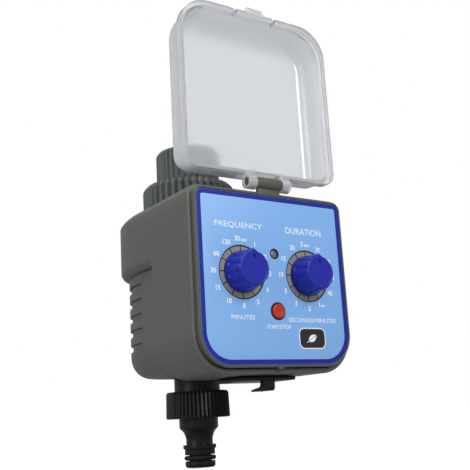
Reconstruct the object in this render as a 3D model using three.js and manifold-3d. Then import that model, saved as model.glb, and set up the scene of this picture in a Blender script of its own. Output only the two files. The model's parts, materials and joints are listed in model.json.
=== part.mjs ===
// Drip irrigation timer for a garden tap, with a ball valve, two setting dials and a flip-up lid.
// Millimetres, +Z up. The front of the case faces -Y and +X is to its right.
// Every piece is drawn in "case coordinates": x = 0 on the middle plane, y = 0 on the front of the
// face label and growing towards the back, z = 0 on the label's bottom edge. The exported group then
// moves everything so that the centre of the inlet mouth, where the tap enters, is the origin.

import * as THREE from 'three';
import { mergeVertices } from 'three/addons/utils/BufferGeometryUtils.js';
import Module from 'manifold-3d';

const wasm = await Module();
wasm.setup();

// ---------------------------------------------------------------- driving dimensions
const GAP = 0.3;                 // running and assembly clearance between neighbours
const WALL = 2.4;                // moulded wall of the case

const LABEL = { half: 42.7, low: 0, high: 81.6, rLow: 15, rHigh: 3.5, thick: 0.5 };
const RIM = 1.3;                 // the bezel's rim stands this far outside the label
const EDGE = 3.1;                // the case stands this far outside the label
const CASE = { front: 3, low: -4.2, high: 84.5, backCentre: 60, fullness: 2.3 };

const COLUMN_Y = 78.1;           // the water column: inlet, ball and outlet share this axis
const INLET_TOP = 128.2;
const OUTLET_END = -47.6;

const GRIP = { front: 39.4, top: 52, inset: 4, grooves: 5, first: 47, pitch: 7.6, tall: 3.6, bite: 1.15 };

const DIAL = { x: 19.3, z: 43, well: 13, skirt: 9.8, face: 8.4, proud: 10.7, flutes: 12 };
const BUTTON = { z: 25, r: 4, proud: 1.1 };
const LAMP = { z: 52.9, r: 2.2 };
const BEZEL_SCREWS = [[-37.5, 11], [37.5, 11], [-37.5, 75], [37.5, 75]];

const HINGE = { y: 2.04, z: 88.55, barrel: 3.05, halfBarrel: 7.4, axle: 2.1, halfAxle: 12.1 };
const LID = {
  rim: 0.75, depth: 19, wall: 1.5, near: 4.7, far: 93.3, half: 45.05, rNear: 8, rFar: 18,
  band: 5, step: 1, fillet: 6, slotX: 12.2, slot: 1.8, tab: 6.4, tabReach: 2.6,
};

const CAP = { half: 16.2, front: 10.8, back: 34, top: -4.5, low: -6.6 };
const TRAY = { half: 12.6, front: 14, back: 27.4, top: 49 };
const POCKET = { gap: 0.4, wall: 1.4, top: 53, mouth: 1.4, mouthTop: 0.6 };
const CELL = { r: 5.25, long: 44.5, x: 5.75, y: 20.6, low: -1.2 };

const NUT = { r: 26.15, low: 86.3, high: 107.5, flutes: 40, lip: 4, bore: 13.2, thread: 17 };
const ADAPTER = { r: 17.95, flutes: 32, thread: 16.6, low: 95.2, socket: 13.2, floor: 114, bore: 7.5 };
const NECK = 12.4;               // the outlet stub that shows under the case
const BALL = { z: 44.2, r: 9.2, bore: 5.5, chamber: 10.2 };
const SEAT = { inner: 6.2, outer: 9.8, thick: 2.7, from: 7.2 };
const STEM = { r: 2.8, front: 54.7, tang: 1.8 };

const MODULE = 16 / 15;          // gear module
const GEARS = { ball: 24, idler: 24, pinion: 6, distance: 16 };
const IDLER_ANGLE = THREE.MathUtils.degToRad(35.6);
const MOTOR_ANGLE = THREE.MathUtils.degToRad(70);
const IDLER = [GEARS.distance * Math.cos(IDLER_ANGLE), BALL.z + GEARS.distance * Math.sin(IDLER_ANGLE)];
const MOTOR = [IDLER[0] + GEARS.distance * Math.cos(MOTOR_ANGLE),
  IDLER[1] + GEARS.distance * Math.sin(MOTOR_ANGLE)];

// ---------------------------------------------------------------- materials
const finish = (color, roughness, metalness = 0, opacity = 1) => new THREE.MeshStandardMaterial({
  color, roughness, metalness, opacity, transparent: opacity < 1,
});
const CASE_GREY = finish(0x5c5d58, 0.6);
const RING_GREY = finish(0x555a5a, 0.55);
const BLACK = finish(0x191614, 0.5);
const RUBBER = finish(0x101010, 0.85);
const LABEL_BLUE = finish(0x87b4e6, 0.45);
const KNOB_BLUE = finish(0x282a9b, 0.45);
const RED = finish(0xc83c1e, 0.4);
const CLEAR = finish(0xdfe4e8, 0.35, 0, 0.45);
const SMOKE = finish(0x6b7074, 0.3);
const BOARD_GREEN = finish(0x1f5c38, 0.6);
const STEEL = finish(0xb9bcc0, 0.3, 1);
const WHITE_NYLON = finish(0xe6e4dc, 0.5);
const CELL_GREY = finish(0x8c9096, 0.35, 0.6);
const BRASS = finish(0xb8963f, 0.3, 1);

// ---------------------------------------------------------------- solids
function volumeOf(geometry) {
  const p = geometry.attributes.position;
  const [a, b, c] = [new THREE.Vector3(), new THREE.Vector3(), new THREE.Vector3()];
  let sum = 0;
  for (let i = 0; i < geometry.index.count; i += 3) {
    a.fromBufferAttribute(p, geometry.index.getX(i));
    b.fromBufferAttribute(p, geometry.index.getX(i + 1));
    c.fromBufferAttribute(p, geometry.index.getX(i + 2));
    sum += a.dot(b.cross(c));
  }
  return sum;
}

function solid(geometry) {
  let g = geometry.clone();
  g.deleteAttribute('normal');
  g.deleteAttribute('uv');
  g = mergeVertices(g, 1e-4);
  const triVerts = Uint32Array.from(g.index.array);
  if (volumeOf(g) < 0) triVerts.reverse();
  const vertProperties = Float32Array.from(g.attributes.position.array);
  return new wasm.Manifold(new wasm.Mesh({ numProp: 3, vertProperties, triVerts }));
}

function geometryOf(body) {
  const mesh = body.getMesh();
  const g = new THREE.BufferGeometry();
  g.setAttribute('position', new THREE.BufferAttribute(new Float32Array(mesh.vertProperties), 3));
  g.setIndex(new THREE.BufferAttribute(new Uint32Array(mesh.triVerts), 1));
  return g;
}

const join = (first, ...rest) => rest.reduce((sum, body) => sum.add(body), first);
const cut = (first, ...rest) => rest.reduce((sum, body) => sum.subtract(body), first);

// A closed outline with round corners, wider than it is deep or the other way round.
function roundedOutline(half, low, high, rLow, rHigh) {
  const s = new THREE.Shape();
  s.moveTo(-half + rLow, low);
  s.lineTo(half - rLow, low);
  s.absarc(half - rLow, low + rLow, rLow, -Math.PI / 2, 0);
  s.lineTo(half, high - rHigh);
  s.absarc(half - rHigh, high - rHigh, rHigh, 0, Math.PI / 2);
  s.lineTo(-half + rHigh, high);
  s.absarc(-half + rHigh, high - rHigh, rHigh, Math.PI / 2, Math.PI);
  s.lineTo(-half, low + rLow);
  s.absarc(-half + rLow, low + rLow, rLow, Math.PI, 1.5 * Math.PI);
  return s;
}

// The label's outline grown on every side; rim, gasket, case and label all follow it.
const faceOutline = (grow) => roundedOutline(LABEL.half + grow, LABEL.low - grow, LABEL.high + grow,
  LABEL.rLow + grow, Math.max(LABEL.rHigh + grow, 0.6));

function slabY(shape, yFront, yBack, curveSegments = 6) {
  const g = new THREE.ExtrudeGeometry(shape, { depth: yBack - yFront, bevelEnabled: false, curveSegments });
  return solid(g.rotateX(Math.PI / 2).translate(0, yBack, 0));
}

function slabZ(shape, zLow, zHigh, curveSegments = 14) {
  const g = new THREE.ExtrudeGeometry(shape, { depth: zHigh - zLow, bevelEnabled: false, curveSegments });
  return solid(g.translate(0, 0, zLow));
}

function slabX(shape, xLow, xHigh, curveSegments = 6) {
  const g = new THREE.ExtrudeGeometry(shape, { depth: xHigh - xLow, bevelEnabled: false, curveSegments });
  // the outline's own (x, y) are the case's (y, z)
  const turn = new THREE.Matrix4().makeBasis(new THREE.Vector3(0, 1, 0), new THREE.Vector3(0, 0, 1),
    new THREE.Vector3(1, 0, 0));
  return solid(g.applyMatrix4(turn).translate(xLow, 0, 0));
}

function block(x0, x1, y0, y1, z0, z1) {
  const g = new THREE.BoxGeometry(x1 - x0, y1 - y0, z1 - z0);
  return solid(g.translate((x0 + x1) / 2, (y0 + y1) / 2, (z0 + z1) / 2));
}

function rodY(x, z, y0, y1, r, rBack = r, segments = 24) {
  const g = new THREE.CylinderGeometry(rBack, r, y1 - y0, segments);
  return solid(g.translate(x, (y0 + y1) / 2, 0).translate(0, 0, z));
}

function rodX(y, z, x0, x1, r, segments = 20) {
  const g = new THREE.CylinderGeometry(r, r, x1 - x0, segments).rotateZ(Math.PI / 2);
  return solid(g.translate((x0 + x1) / 2, y, z));
}

function rodZ(z0, z1, r, rTop = r, segments = 28) {
  const g = new THREE.CylinderGeometry(rTop, r, z1 - z0, segments).rotateX(Math.PI / 2);
  return solid(g.translate(0, COLUMN_Y, (z0 + z1) / 2));
}

// A body of revolution about the water column from (radius, height) points that close on themselves.
function turned(points, segments = 24) {
  const profile = [...points, points[0]].map(([r, z]) => new THREE.Vector2(r, z));
  const g = new THREE.LatheGeometry(profile, segments).rotateX(Math.PI / 2);
  return solid(g.translate(0, COLUMN_Y, 0));
}

const ringZ = (z0, z1, inner, outer, segments = 20) => turned(
  [[inner, z0], [outer, z0], [outer, z1], [inner, z1]], segments);

function ringY(x, z, y0, y1, inner, outer, segments = 16) {
  return cut(rodY(x, z, y0, y1, outer, outer, segments), rodY(x, z, y0 - 1, y1 + 1, inner, inner, segments));
}

// A round outline with shallow scallops, for hand grips.
function scalloped(radius, depth, count, steps = 2) {
  const points = [];
  for (let i = 0; i < count * steps; i += 1) {
    const turn = (2 * Math.PI * i) / (count * steps);
    const r = radius - depth * Math.abs(Math.cos((turn * count) / 2)) ** 3;
    points.push(new THREE.Vector2(r * Math.cos(turn), r * Math.sin(turn)));
  }
  return new THREE.Shape(points);
}

// A spur gear's outline: short straight-flanked teeth that leave backlash, one tooth on `phase`.
function gearOutline(teeth, phase) {
  const pitch = (MODULE * teeth) / 2;
  const [root, tip] = [pitch - 0.95 * MODULE, pitch + 0.7 * MODULE];
  const step = (2 * Math.PI) / teeth;
  const points = [];
  for (let i = 0; i < teeth; i += 1) {
    const a = phase + i * step;
    for (const [r, share] of [[root, -0.25], [tip, -0.11], [tip, 0.11], [root, 0.25]]) {
      points.push(new THREE.Vector2(r * Math.cos(a + share * step), r * Math.sin(a + share * step)));
    }
  }
  return new THREE.Shape(points);
}

function gear(teeth, phase, [x, z], y0, y1, bore) {
  const body = slabY(gearOutline(teeth, phase), y0, y1).translate([x, 0, z]);
  return bore > 0 ? cut(body, rodY(x, z, y0 - 1, y1 + 1, bore, bore, 16)) : body;
}

// ---------------------------------------------------------------- the case
// The case in plan: straight sides from `from` back, closed by a bow that is fuller than a half circle.
function planOf(half, from) {
  const bow = [];
  const steps = 28;
  for (let i = 0; i <= steps; i += 1) {
    const turn = (Math.PI * i) / steps;
    const [c, s] = [Math.cos(turn), Math.sin(turn)];
    const power = 2 / CASE.fullness;
    bow.push(new THREE.Vector2(half * Math.sign(c) * Math.abs(c) ** power,
      CASE.backCentre + half * Math.max(s, 0) ** power));
  }
  return new THREE.Shape([new THREE.Vector2(-half, from), new THREE.Vector2(half, from), ...bow]);
}

// The case's outer form, or any parallel form inside it.
function caseForm(inset, frontY) {
  const half = LABEL.half + EDGE - inset;
  const back = CASE.backCentre;
  const rLow = LABEL.rLow + EDGE - inset;
  const rHigh = Math.max(LABEL.rHigh + EDGE - inset, 1);
  const section = (grow, lift) => slabY(
    roundedOutline(half + grow, CASE.low + inset + lift, CASE.high - inset, rLow, rHigh), frontY, back + 60);
  const full = slabZ(planOf(half, frontY), CASE.low - 5, CASE.high + 5).intersect(section(0, 0));
  const lowerR = half - GRIP.inset;
  const lower = slabZ(planOf(lowerR, frontY), CASE.low - 5, CASE.high + 5)
    .intersect(section(-GRIP.inset, GRIP.inset));
  const outside = slabX(roundedRegion(GRIP.front - inset, back + 70, CASE.low - 20, GRIP.top + inset, 4),
    -80, 80);
  return cut(full, outside.subtract(lower));
}

function roundedRegion(y0, y1, z0, z1, r) {
  const s = new THREE.Shape();
  s.moveTo(y0, z0);
  s.lineTo(y1, z0);
  s.lineTo(y1, z1);
  s.lineTo(y0 + r, z1);
  s.absarc(y0 + r, z1 - r, r, Math.PI / 2, Math.PI);
  return s;
}

// Five finger grooves run round the back, one above the other.
function gripGrooves() {
  const outer = LABEL.half + EDGE - GRIP.inset;
  const rings = [];
  for (let i = 0; i < GRIP.grooves; i += 1) {
    const top = GRIP.first - i * GRIP.pitch;
    const around = slabZ(planOf(outer + 3, CASE.backCentre - 0.1), top - GRIP.tall, top);
    rings.push(cut(around, slabZ(planOf(outer - GRIP.bite, CASE.backCentre - 1), top - GRIP.tall - 1, top + 1)));
  }
  return join(...rings);
}

function batteryPocket() {
  const { half, front, back } = TRAY;
  const g = POCKET.gap;
  const w = g + POCKET.wall;
  const m = g + POCKET.mouth;
  const walls = block(-half - m - 1.2, half + m + 1.2, front - m - 1.2, back + m + 1.2,
    CASE.low + 1, POCKET.mouthTop + 1.4);
  const shaft = block(-half - w, half + w, front - w, back + w, CASE.low + 1, POCKET.top + POCKET.wall);
  const inside = block(-half - g, half + g, front - g, back + g, CASE.low - 2, POCKET.top);
  const mouth = block(-half - m, half + m, front - m, back + m, CASE.low - 2, POCKET.mouthTop);
  return { walls: join(walls, shaft), hollow: join(inside, mouth) };
}

function rearHousing() {
  const outer = caseForm(0, CASE.front);
  const inner = caseForm(WALL, CASE.front - 5);
  const pocket = batteryPocket();
  const bosses = BEZEL_SCREWS.map(([x, z]) => {
    const side = Math.sign(x);
    const rib = block(Math.min(x, side * 46), Math.max(x, side * 46), 8.6, 24, z - 1.1, z + 1.1);
    return join(rodY(x, z, 8.6, 24, 3.2, 3.2, 16), rib).intersect(outer);
  });
  const bores = BEZEL_SCREWS.map(([x, z]) => rodY(x, z, 7, 22, 1.55, 1.55, 12));
  return cut(join(cut(outer, inner, gripGrooves()), pocket.walls, ...bosses), ...bores, pocket.hollow,
    rodZ(75, 95, 12.3 + GAP + 0.2), rodZ(-12, 5, NECK + GAP));
}

function bezelGasket() {
  return cut(slabY(faceOutline(EDGE - WALL - GAP), 3.4, 5.2), slabY(faceOutline(-0.9 + GAP), 3, 6));
}

// ---------------------------------------------------------------- the front
function frontBezel() {
  const plate = slabY(faceOutline(RIM), -0.3, 2.7);
  const tray = slabY(faceOutline(GAP), -1, LABEL.thick + 0.2);
  const tongue = cut(slabY(faceOutline(-0.9), 2.6, 7), slabY(faceOutline(-2.5), 2, 8));
  const bosses = [];
  const holes = [];
  for (const x of [-DIAL.x, DIAL.x]) {
    bosses.push(rodY(x, DIAL.z, 2.6, 4.2, 6));
    holes.push(rodY(x, DIAL.z, -1, 1.1, DIAL.well, DIAL.well, 32), rodY(x, DIAL.z, -1, 8, 2.8, 2.8, 20));
    holes.push(rodY(x, DIAL.z, 2.3, 8, 4.2, 4.2, 20));
  }
  holes.push(rodY(0, BUTTON.z, -1, 8, BUTTON.r + GAP, BUTTON.r + GAP, 24));
  holes.push(rodY(0, BUTTON.z, 1.5, 8, 5.3, 5.3, 24));
  holes.push(rodY(0, LAMP.z, -1, 8, LAMP.r + GAP, LAMP.r + GAP, 20));
  for (const [x, z] of BEZEL_SCREWS) holes.push(rodY(x, z, -1, 8, 1.8, 1.8, 12));
  const pedestal = block(-6.9, 6.9, -0.3, 2.7, LABEL.high, HINGE.z);
  const barrel = rodX(HINGE.y, HINGE.z, -HINGE.halfBarrel, HINGE.halfBarrel, HINGE.barrel, 28);
  const axle = rodX(HINGE.y, HINGE.z, -HINGE.halfAxle, HINGE.halfAxle, HINGE.axle);
  const nub = block(-1.6, 1.6, 0, 1.8, -2.1, -1);
  return cut(join(cut(plate, tray), tongue, ...bosses, pedestal, barrel, axle, nub), ...holes);
}

function faceLabel() {
  const holes = [-DIAL.x, DIAL.x].map((x) => rodY(x, DIAL.z, -1, 2, DIAL.well, DIAL.well, 32));
  holes.push(rodY(0, BUTTON.z, -1, 2, BUTTON.r + GAP + 0.2, BUTTON.r + GAP + 0.2, 24));
  holes.push(rodY(0, LAMP.z, -1, 2, LAMP.r + 0.1, LAMP.r + 0.1, 20));
  return cut(slabY(faceOutline(0), 0, LABEL.thick), ...holes);
}

function knob(x) {
  const z = DIAL.z;
  const front = -DIAL.proud;
  const skirt = rodY(x, z, -2, 0.7, DIAL.skirt - 0.2, DIAL.skirt, 36);
  const grip = slabY(scalloped(DIAL.face + 0.7, 0.6, DIAL.flutes, 4), front, -1.6).translate([x, 0, z]);
  const cone = rodY(x, z, front, -1.6, DIAL.face, DIAL.skirt - 0.2, 36);
  const pointer = new THREE.Shape([[-2.3, 7], [2.3, 7], [0.5, 9.5], [-0.5, 9.5]]
    .map(([px, pz]) => new THREE.Vector2(px, pz)));
  const ridge = slabY(pointer, front, -1.6).translate([x, 0, z]);
  const notch = new THREE.Shape([[-1, 5], [1, 5], [0, 6.8]].map(([px, pz]) => new THREE.Vector2(px, pz)));
  const mark = slabY(notch, front - 1, front + 0.8).translate([x, 0, z]);
  const bore = rodY(x, z, -7, 2, 2.5 + GAP, 2.5 + GAP, 20);
  return cut(join(skirt, grip.intersect(cone), ridge), mark, bore);
}

const dialShaft = (x) => join(rodY(x, DIAL.z, -6.7, 7.3, 2.5, 2.5, 20),
  block(x - 2.5, x + 2.5, 5.2, 7.2, DIAL.z - 0.6, DIAL.z + 0.6));
const shaftSeal = (x) => ringY(x, DIAL.z, 2.6, 4, 2.65, 4.05);
const rotarySwitch = (x) => cut(ringY(x, DIAL.z, 4.6, 7.7, 2.8, 8.2), block(x - 9, x - 7.4, 4, 8, 40, 46));

function startStopButton() {
  const cap = rodY(0, BUTTON.z, -BUTTON.proud, -BUTTON.proud + 0.8, BUTTON.r - 0.7, BUTTON.r);
  const body = rodY(0, BUTTON.z, -BUTTON.proud + 0.8, 3.2, BUTTON.r);
  return join(cap, body, rodY(0, BUTTON.z, 3, 3.8, 5));
}

const buttonSeal = () => ringY(0, BUTTON.z, 1.8, 2.7, BUTTON.r + 0.15, 5.15);
const tactSwitch = () => join(block(-3, 3, 6, 7.7, BUTTON.z - 3, BUTTON.z + 3),
  rodY(0, BUTTON.z, 5.1, 6.2, 1.6, 1.6, 16));
const lampLens = () => rodY(0, LAMP.z, 0.15, 2.5, LAMP.r - 0.2, LAMP.r - 0.2, 20);
const statusLamp = () => join(rodY(0, LAMP.z, 4, 5, 0.8, 1.5, 16), rodY(0, LAMP.z, 5, 7.7, 1.5, 1.5, 16));

function circuitBoard() {
  const board = block(-33.6, 33.6, 8, 9.6, 4, 78);
  return cut(board, ...[-DIAL.x, DIAL.x].map((x) => rodY(x, DIAL.z, 7, 11, 1.2, 1.2, 12)));
}

const bezelScrew = ([x, z]) => join(rodY(x, z, 0.9, 2.4, 1.7, 1.5, 16), rodY(x, z, 2.2, 18, 1.35, 1.35, 12));

// ---------------------------------------------------------------- the lid
// Drawn open: it stands straight up from the hinge with its hollow side to the front.
function lidShell(grow, yFront, yBack, fillet) {
  const half = LID.half - LID.step + grow;
  const low = HINGE.z + LID.near + LID.step - grow;
  const high = HINGE.z + LID.far - LID.step + grow;
  const outline = roundedOutline(half, low, high, LID.rNear + grow, LID.rFar + grow);
  // roundedOutline puts its first radius at the bottom, which is the hinge side here
  const g = new THREE.ExtrudeGeometry(outline, {
    depth: yBack - yFront, bevelEnabled: true, bevelThickness: fillet, bevelSize: fillet,
    bevelOffset: -fillet, bevelSegments: 3, curveSegments: 5,
  });
  const body = solid(g.rotateX(Math.PI / 2).translate(0, yBack - fillet, 0));
  return body.intersect(block(-80, 80, yFront, yBack + 1, 0, 300));
}

function lid() {
  const front = HINGE.y + LID.rim;
  const back = front + LID.depth;
  const shell = lidShell(0, front, back, LID.fillet);
  const hollow = lidShell(-LID.wall, front - 1, back - LID.wall, LID.fillet - LID.wall);
  const bandOutline = (grow) => roundedOutline(LID.half + grow, HINGE.z + LID.near - grow,
    HINGE.z + LID.far + grow, LID.rNear - 1.5 + grow, LID.rFar + 1 + grow);
  const band = slabY(bandOutline(0), front, front + LID.band);
  const rebate = slabY(faceOutline(RIM + GAP), front - 1, front + 2.2)
    .mirror([0, 0, 1]).translate([0, 0, 2 * HINGE.z]);
  const tab = new THREE.Shape([[-LID.tab, -1], [LID.tab, -1], [LID.tab - 1.5, LID.tabReach],
    [-LID.tab + 1.5, LID.tabReach]].map(([x, z]) => new THREE.Vector2(x, z)));
  const thumbTab = slabY(tab, front, front + 1.6).translate([0, 0, HINGE.z + LID.far]);
  const slots = [-LID.slotX, LID.slotX].map((x) => block(x - LID.slot / 2, x + LID.slot / 2,
    front - 1, front + LID.band, HINGE.z + LID.far - 4.4, HINGE.z + LID.far + 2));
  const ears = [];
  for (const side of [-1, 1]) {
    const [x0, x1] = [side * (HINGE.halfBarrel + GAP), side * (HINGE.halfAxle + 0.5)].sort((a, b) => a - b);
    ears.push(rodX(HINGE.y, HINGE.z, x0, x1, 3.6));
    ears.push(block(x0, x1, HINGE.y - 0.6, HINGE.y + 3.2, HINGE.z + 2, HINGE.z + LID.near + 0.6));
  }
  const clearance = block(-HINGE.halfBarrel, HINGE.halfBarrel, 0, front + 2.6, HINGE.z, HINGE.z + 6.6);
  const axleBore = rodX(HINGE.y, HINGE.z, -20, 20, HINGE.axle + GAP);
  return cut(join(shell, band, thumbTab, ...ears), hollow, rebate, ...slots, clearance, axleBore);
}

// ---------------------------------------------------------------- the battery drawer
function batteryDrawer() {
  const cap = block(-CAP.half, CAP.half, CAP.front, CAP.back, CAP.low, CAP.top);
  const tray = cut(block(-TRAY.half, TRAY.half, TRAY.front, TRAY.back, CAP.low + 1, TRAY.top),
    block(-TRAY.half + 1.2, TRAY.half - 1.2, TRAY.front - 1, TRAY.back - 1.2, CELL.low - 0.9, TRAY.top - 1.2));
  const hook = new THREE.Shape();
  hook.moveTo(CAP.front, CAP.low + 0.5);
  hook.lineTo(CAP.front, -9.4);
  hook.absarc(CAP.front + 1.8, -9.4, 1.8, Math.PI, 1.5 * Math.PI);
  hook.lineTo(20.6, -11.4);
  hook.lineTo(20.9, -10.6);
  hook.lineTo(15.4, -9.4);
  hook.absarc(15.4, -8, 1.4, -Math.PI / 2, -Math.PI, true);
  hook.lineTo(14, CAP.low + 0.5);
  return join(cap, tray, slabX(hook, -4, 4));
}

const drawerSeal = () => cut(
  block(-TRAY.half - 1.5, TRAY.half + 1.5, TRAY.front - 1.5, TRAY.back + 1.5, -3.2, -1.4),
  block(-TRAY.half - 0.3, TRAY.half + 0.3, TRAY.front - 0.3, TRAY.back + 0.3, -4, 0));

function battery(side) {
  const x = side * CELL.x;
  const body = new THREE.CylinderGeometry(CELL.r, CELL.r, CELL.long, 24).rotateX(Math.PI / 2);
  const tip = new THREE.CylinderGeometry(1.9, 1.9, 1.2, 16).rotateX(Math.PI / 2);
  const end = side > 0 ? CELL.low + CELL.long + 0.4 : CELL.low - 0.1;
  return join(solid(body.translate(x, CELL.y, CELL.low + 0.4 + CELL.long / 2)),
    solid(tip.translate(x, CELL.y, end)));
}

const pocketContact = (side) => block(side > 0 ? 2 : -9.6, side > 0 ? 9.6 : -2, 17, 25,
  POCKET.top - 1.2, POCKET.top - 0.4);

// ---------------------------------------------------------------- the water column
function inletNut() {
  const grip = slabZ(scalloped(NUT.r, 0.9, NUT.flutes), NUT.low, NUT.high).translate([0, COLUMN_Y, 0]);
  const cone = turned([[0, NUT.low], [NUT.r + 1, NUT.low], [NUT.r + 1, NUT.high - 3], [NUT.r - 2, NUT.high],
    [0, NUT.high]], NUT.flutes);
  return cut(grip.intersect(cone), rodZ(NUT.low - 1, NUT.high + 1, NUT.bore + GAP),
    rodZ(NUT.low + NUT.lip, NUT.high + 1, NUT.thread));
}

function inletAdapter() {
  const { r, thread, low, socket, floor, bore } = ADAPTER;
  const seatZ = NUT.high + GAP;
  const grip = slabZ(scalloped(r, 0.8, ADAPTER.flutes), seatZ, INLET_TOP).translate([0, COLUMN_Y, 0]);
  const cone = turned([[0, seatZ], [r + 1, seatZ], [r + 1, INLET_TOP - 2.2], [r - 1.4, INLET_TOP],
    [0, INLET_TOP]], 48);
  return cut(join(grip.intersect(cone), rodZ(low, seatZ + 1, thread)),
    rodZ(floor, INLET_TOP + 1, socket), rodZ(low - 1, floor + 1, bore));
}

const tapWasher = () => ringZ(115.3, 117.8, 7.8, 12.9);
const adapterWasher = () => ringZ(93.9, 94.9, 8.6, 16.2);

function inletFilter() {
  return turned([[0, 103], [6.2, 103], [7.1, 105], [7.1, 114.3], [12.6, 114.3], [12.6, 115], [6.4, 115],
    [6.4, 105.6], [5.8, 103.7], [0, 103.7]]);
}

function inletSpigot() {
  return turned([[8, 54.4], [9.9, 54.4], [9.9, 57.3], [12.3, 57.3], [12.3, 89.8], [13.2, 89.8],
    [13.2, 90.6], [16.4, 90.6], [16.4, 93.6], [8, 93.6]]);
}

function valveBody() {
  const shell = turned([[6.5, -17.2], [13.1, -17.2], [13.1, -8.6], [NECK, -8.6], [NECK, 30], [15, 32],
    [15, 72], [12.6, 72], [12.6, 57], [BALL.chamber, 57], [BALL.chamber, 34], [6.5, 34]]);
  const boss = rodY(0, BALL.z, 62.6, COLUMN_Y - BALL.chamber - 0.4, 6, 6, 24);
  const bore = rodY(0, BALL.z, 60, COLUMN_Y - BALL.chamber + 2, STEM.r + GAP, STEM.r + GAP, 20);
  const recess = rodY(0, BALL.z, 60, 65, 4.4, 4.4, 20);
  return cut(join(shell, boss), bore, recess);
}

const ballSeat = (side) => {
  const mid = BALL.z + side * (SEAT.from + SEAT.thick / 2);
  return ringZ(mid - SEAT.thick / 2, mid + SEAT.thick / 2, SEAT.inner, SEAT.outer);
};

// Drawn shut: the bore lies across the pipe and a quarter turn about the stem opens it.
function valveBall() {
  const sphere = solid(new THREE.SphereGeometry(BALL.r, 20, 12).rotateZ(0.1).translate(0, COLUMN_Y, BALL.z));
  const slot = block(-4.2, 4.2, COLUMN_Y - BALL.r - 1, COLUMN_Y - BALL.r + 2.2, BALL.z - 1.2, BALL.z + 1.2);
  return cut(sphere, rodX(COLUMN_Y, BALL.z, -20, 20, BALL.bore, 24), slot);
}

function ballStem() {
  const end = COLUMN_Y - BALL.r - 0.4;
  const tang = block(-2.4, 2.4, end - 0.2, end + 2, BALL.z - STEM.tang / 2, BALL.z + STEM.tang / 2);
  return join(rodY(0, BALL.z, STEM.front, end, STEM.r, STEM.r, 20), tang);
}

const stemSeal = () => ringY(0, BALL.z, 62.9, 64.7, STEM.r + 0.15, 4.25);

function outletConnector() {
  const [top, bottom] = [-7.9, -22];
  const body = turned([[5, -20], [13.45, -20], [13.45, top], [16.6, top], [17, top - 0.6], [17.2, bottom],
    [10.5, bottom], [10.5, -27], [8.2, -29.4], [7.2, -32.4], [7.2, -35.9], [8.9, -35.9], [8.9, -37.8],
    [8.15, -38.1], [8.15, -41], [5.8, -41.1], [5.8, -44.3], [8.05, -44.4], [8.05, -46.8], [7.3, OUTLET_END],
    [4.5, OUTLET_END], [4.5, -26]], 28);
  const wing = block(-17.6, -12.6, COLUMN_Y - 4.6, COLUMN_Y + 4.6, bottom, top - 0.2);
  const wingBack = block(12.6, 17.6, COLUMN_Y - 4.6, COLUMN_Y + 4.6, bottom, top - 0.2);
  return cut(join(body, wing, wingBack), rodZ(-20, top + 1, 13.45, 13.45, 28));
}

const outletWasher = () => ringZ(-19.7, -17.5, 6.8, 12.9);

function nippleRing() {
  const profile = [];
  for (let i = 0; i < 8; i += 1) {
    const a = (2 * Math.PI * i) / 8;
    profile.push([7.35 + 1.2 * Math.cos(a), -42.7 + 1.2 * Math.sin(a)]);
  }
  return turned(profile);
}

// ---------------------------------------------------------------- the valve drive
function ballGear() {
  const teeth = gear(GEARS.ball, 0, [0, BALL.z], 56, 60, 0);
  const cam = rodY(0, BALL.z, 54.9, 56.5, 8, 8, 28).intersect(block(-10, 10, 50, 60, BALL.z, BALL.z + 20));
  const hub = rodY(0, BALL.z, 54.9, 56.5, 5, 5, 20);
  return cut(join(teeth, cam, hub), rodY(0, BALL.z, 50, 62, STEM.r + GAP, STEM.r + GAP, 20));
}

// Phases put a tooth of one gear in a gap of its partner along the line between their centres.
function idlerGear() {
  const toBall = IDLER_ANGLE + Math.PI;
  const phase = gapPhase(GEARS.pinion, toBall, GEARS.ball, IDLER_ANGLE, 0);
  const small = gear(GEARS.pinion, phase, IDLER, 54, 60.4, 0);
  const large = gear(GEARS.idler, 0, IDLER, 51.2, 54.4, 0);
  return cut(join(small, large), rodY(IDLER[0], IDLER[1], 50, 62, 1.5, 1.5, 16));
}

function gapPhase(teeth, towards, otherTeeth, otherTowards, otherPhase) {
  const otherStep = (2 * Math.PI) / otherTeeth;
  const offset = ((otherTowards - otherPhase) / otherStep) % 1;
  return towards + ((2 * Math.PI) / teeth) * (0.5 + offset);
}

const idlerAxle = () => rodY(IDLER[0], IDLER[1], 49.5, 62, 1.2, 1.2, 16);

function motorPinion() {
  const phase = gapPhase(GEARS.pinion, MOTOR_ANGLE + Math.PI, GEARS.idler, MOTOR_ANGLE, 0);
  return gear(GEARS.pinion, phase, MOTOR, 50.6, 54.8, 1.3);
}

function gearMotor() {
  return join(rodY(...MOTOR, 24, 46.9, 10, 10, 28), rodY(...MOTOR, 46.5, 54.6, 1, 1, 12),
    rodY(...MOTOR, 22.6, 24.5, 3, 3, 16));
}

function gearboxPlate() {
  const plate = block(-16, 31, 47.2, 49.2, 33, 81);
  return cut(plate, rodY(...MOTOR, 40, 60, 1.5, 1.5, 12), block(-20, 0, 40, 60, 62, 90));
}

const positionSwitch = () => join(block(-20, -12.4, 50.5, 55.6, 41, 47.4),
  block(-13, -8.4, 54.9, 55.6, 43.8, 44.6));

// ---------------------------------------------------------------- leads
function lead(points, radius) {
  const path = new THREE.CatmullRomCurve3(points.map((p) => new THREE.Vector3(...p)));
  const section = new THREE.Shape();
  section.absarc(0, 0, radius, 0, 2 * Math.PI);
  return solid(new THREE.ExtrudeGeometry(section, {
    extrudePath: path, steps: 10, curveSegments: 4, bevelEnabled: false,
  }));
}

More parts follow.
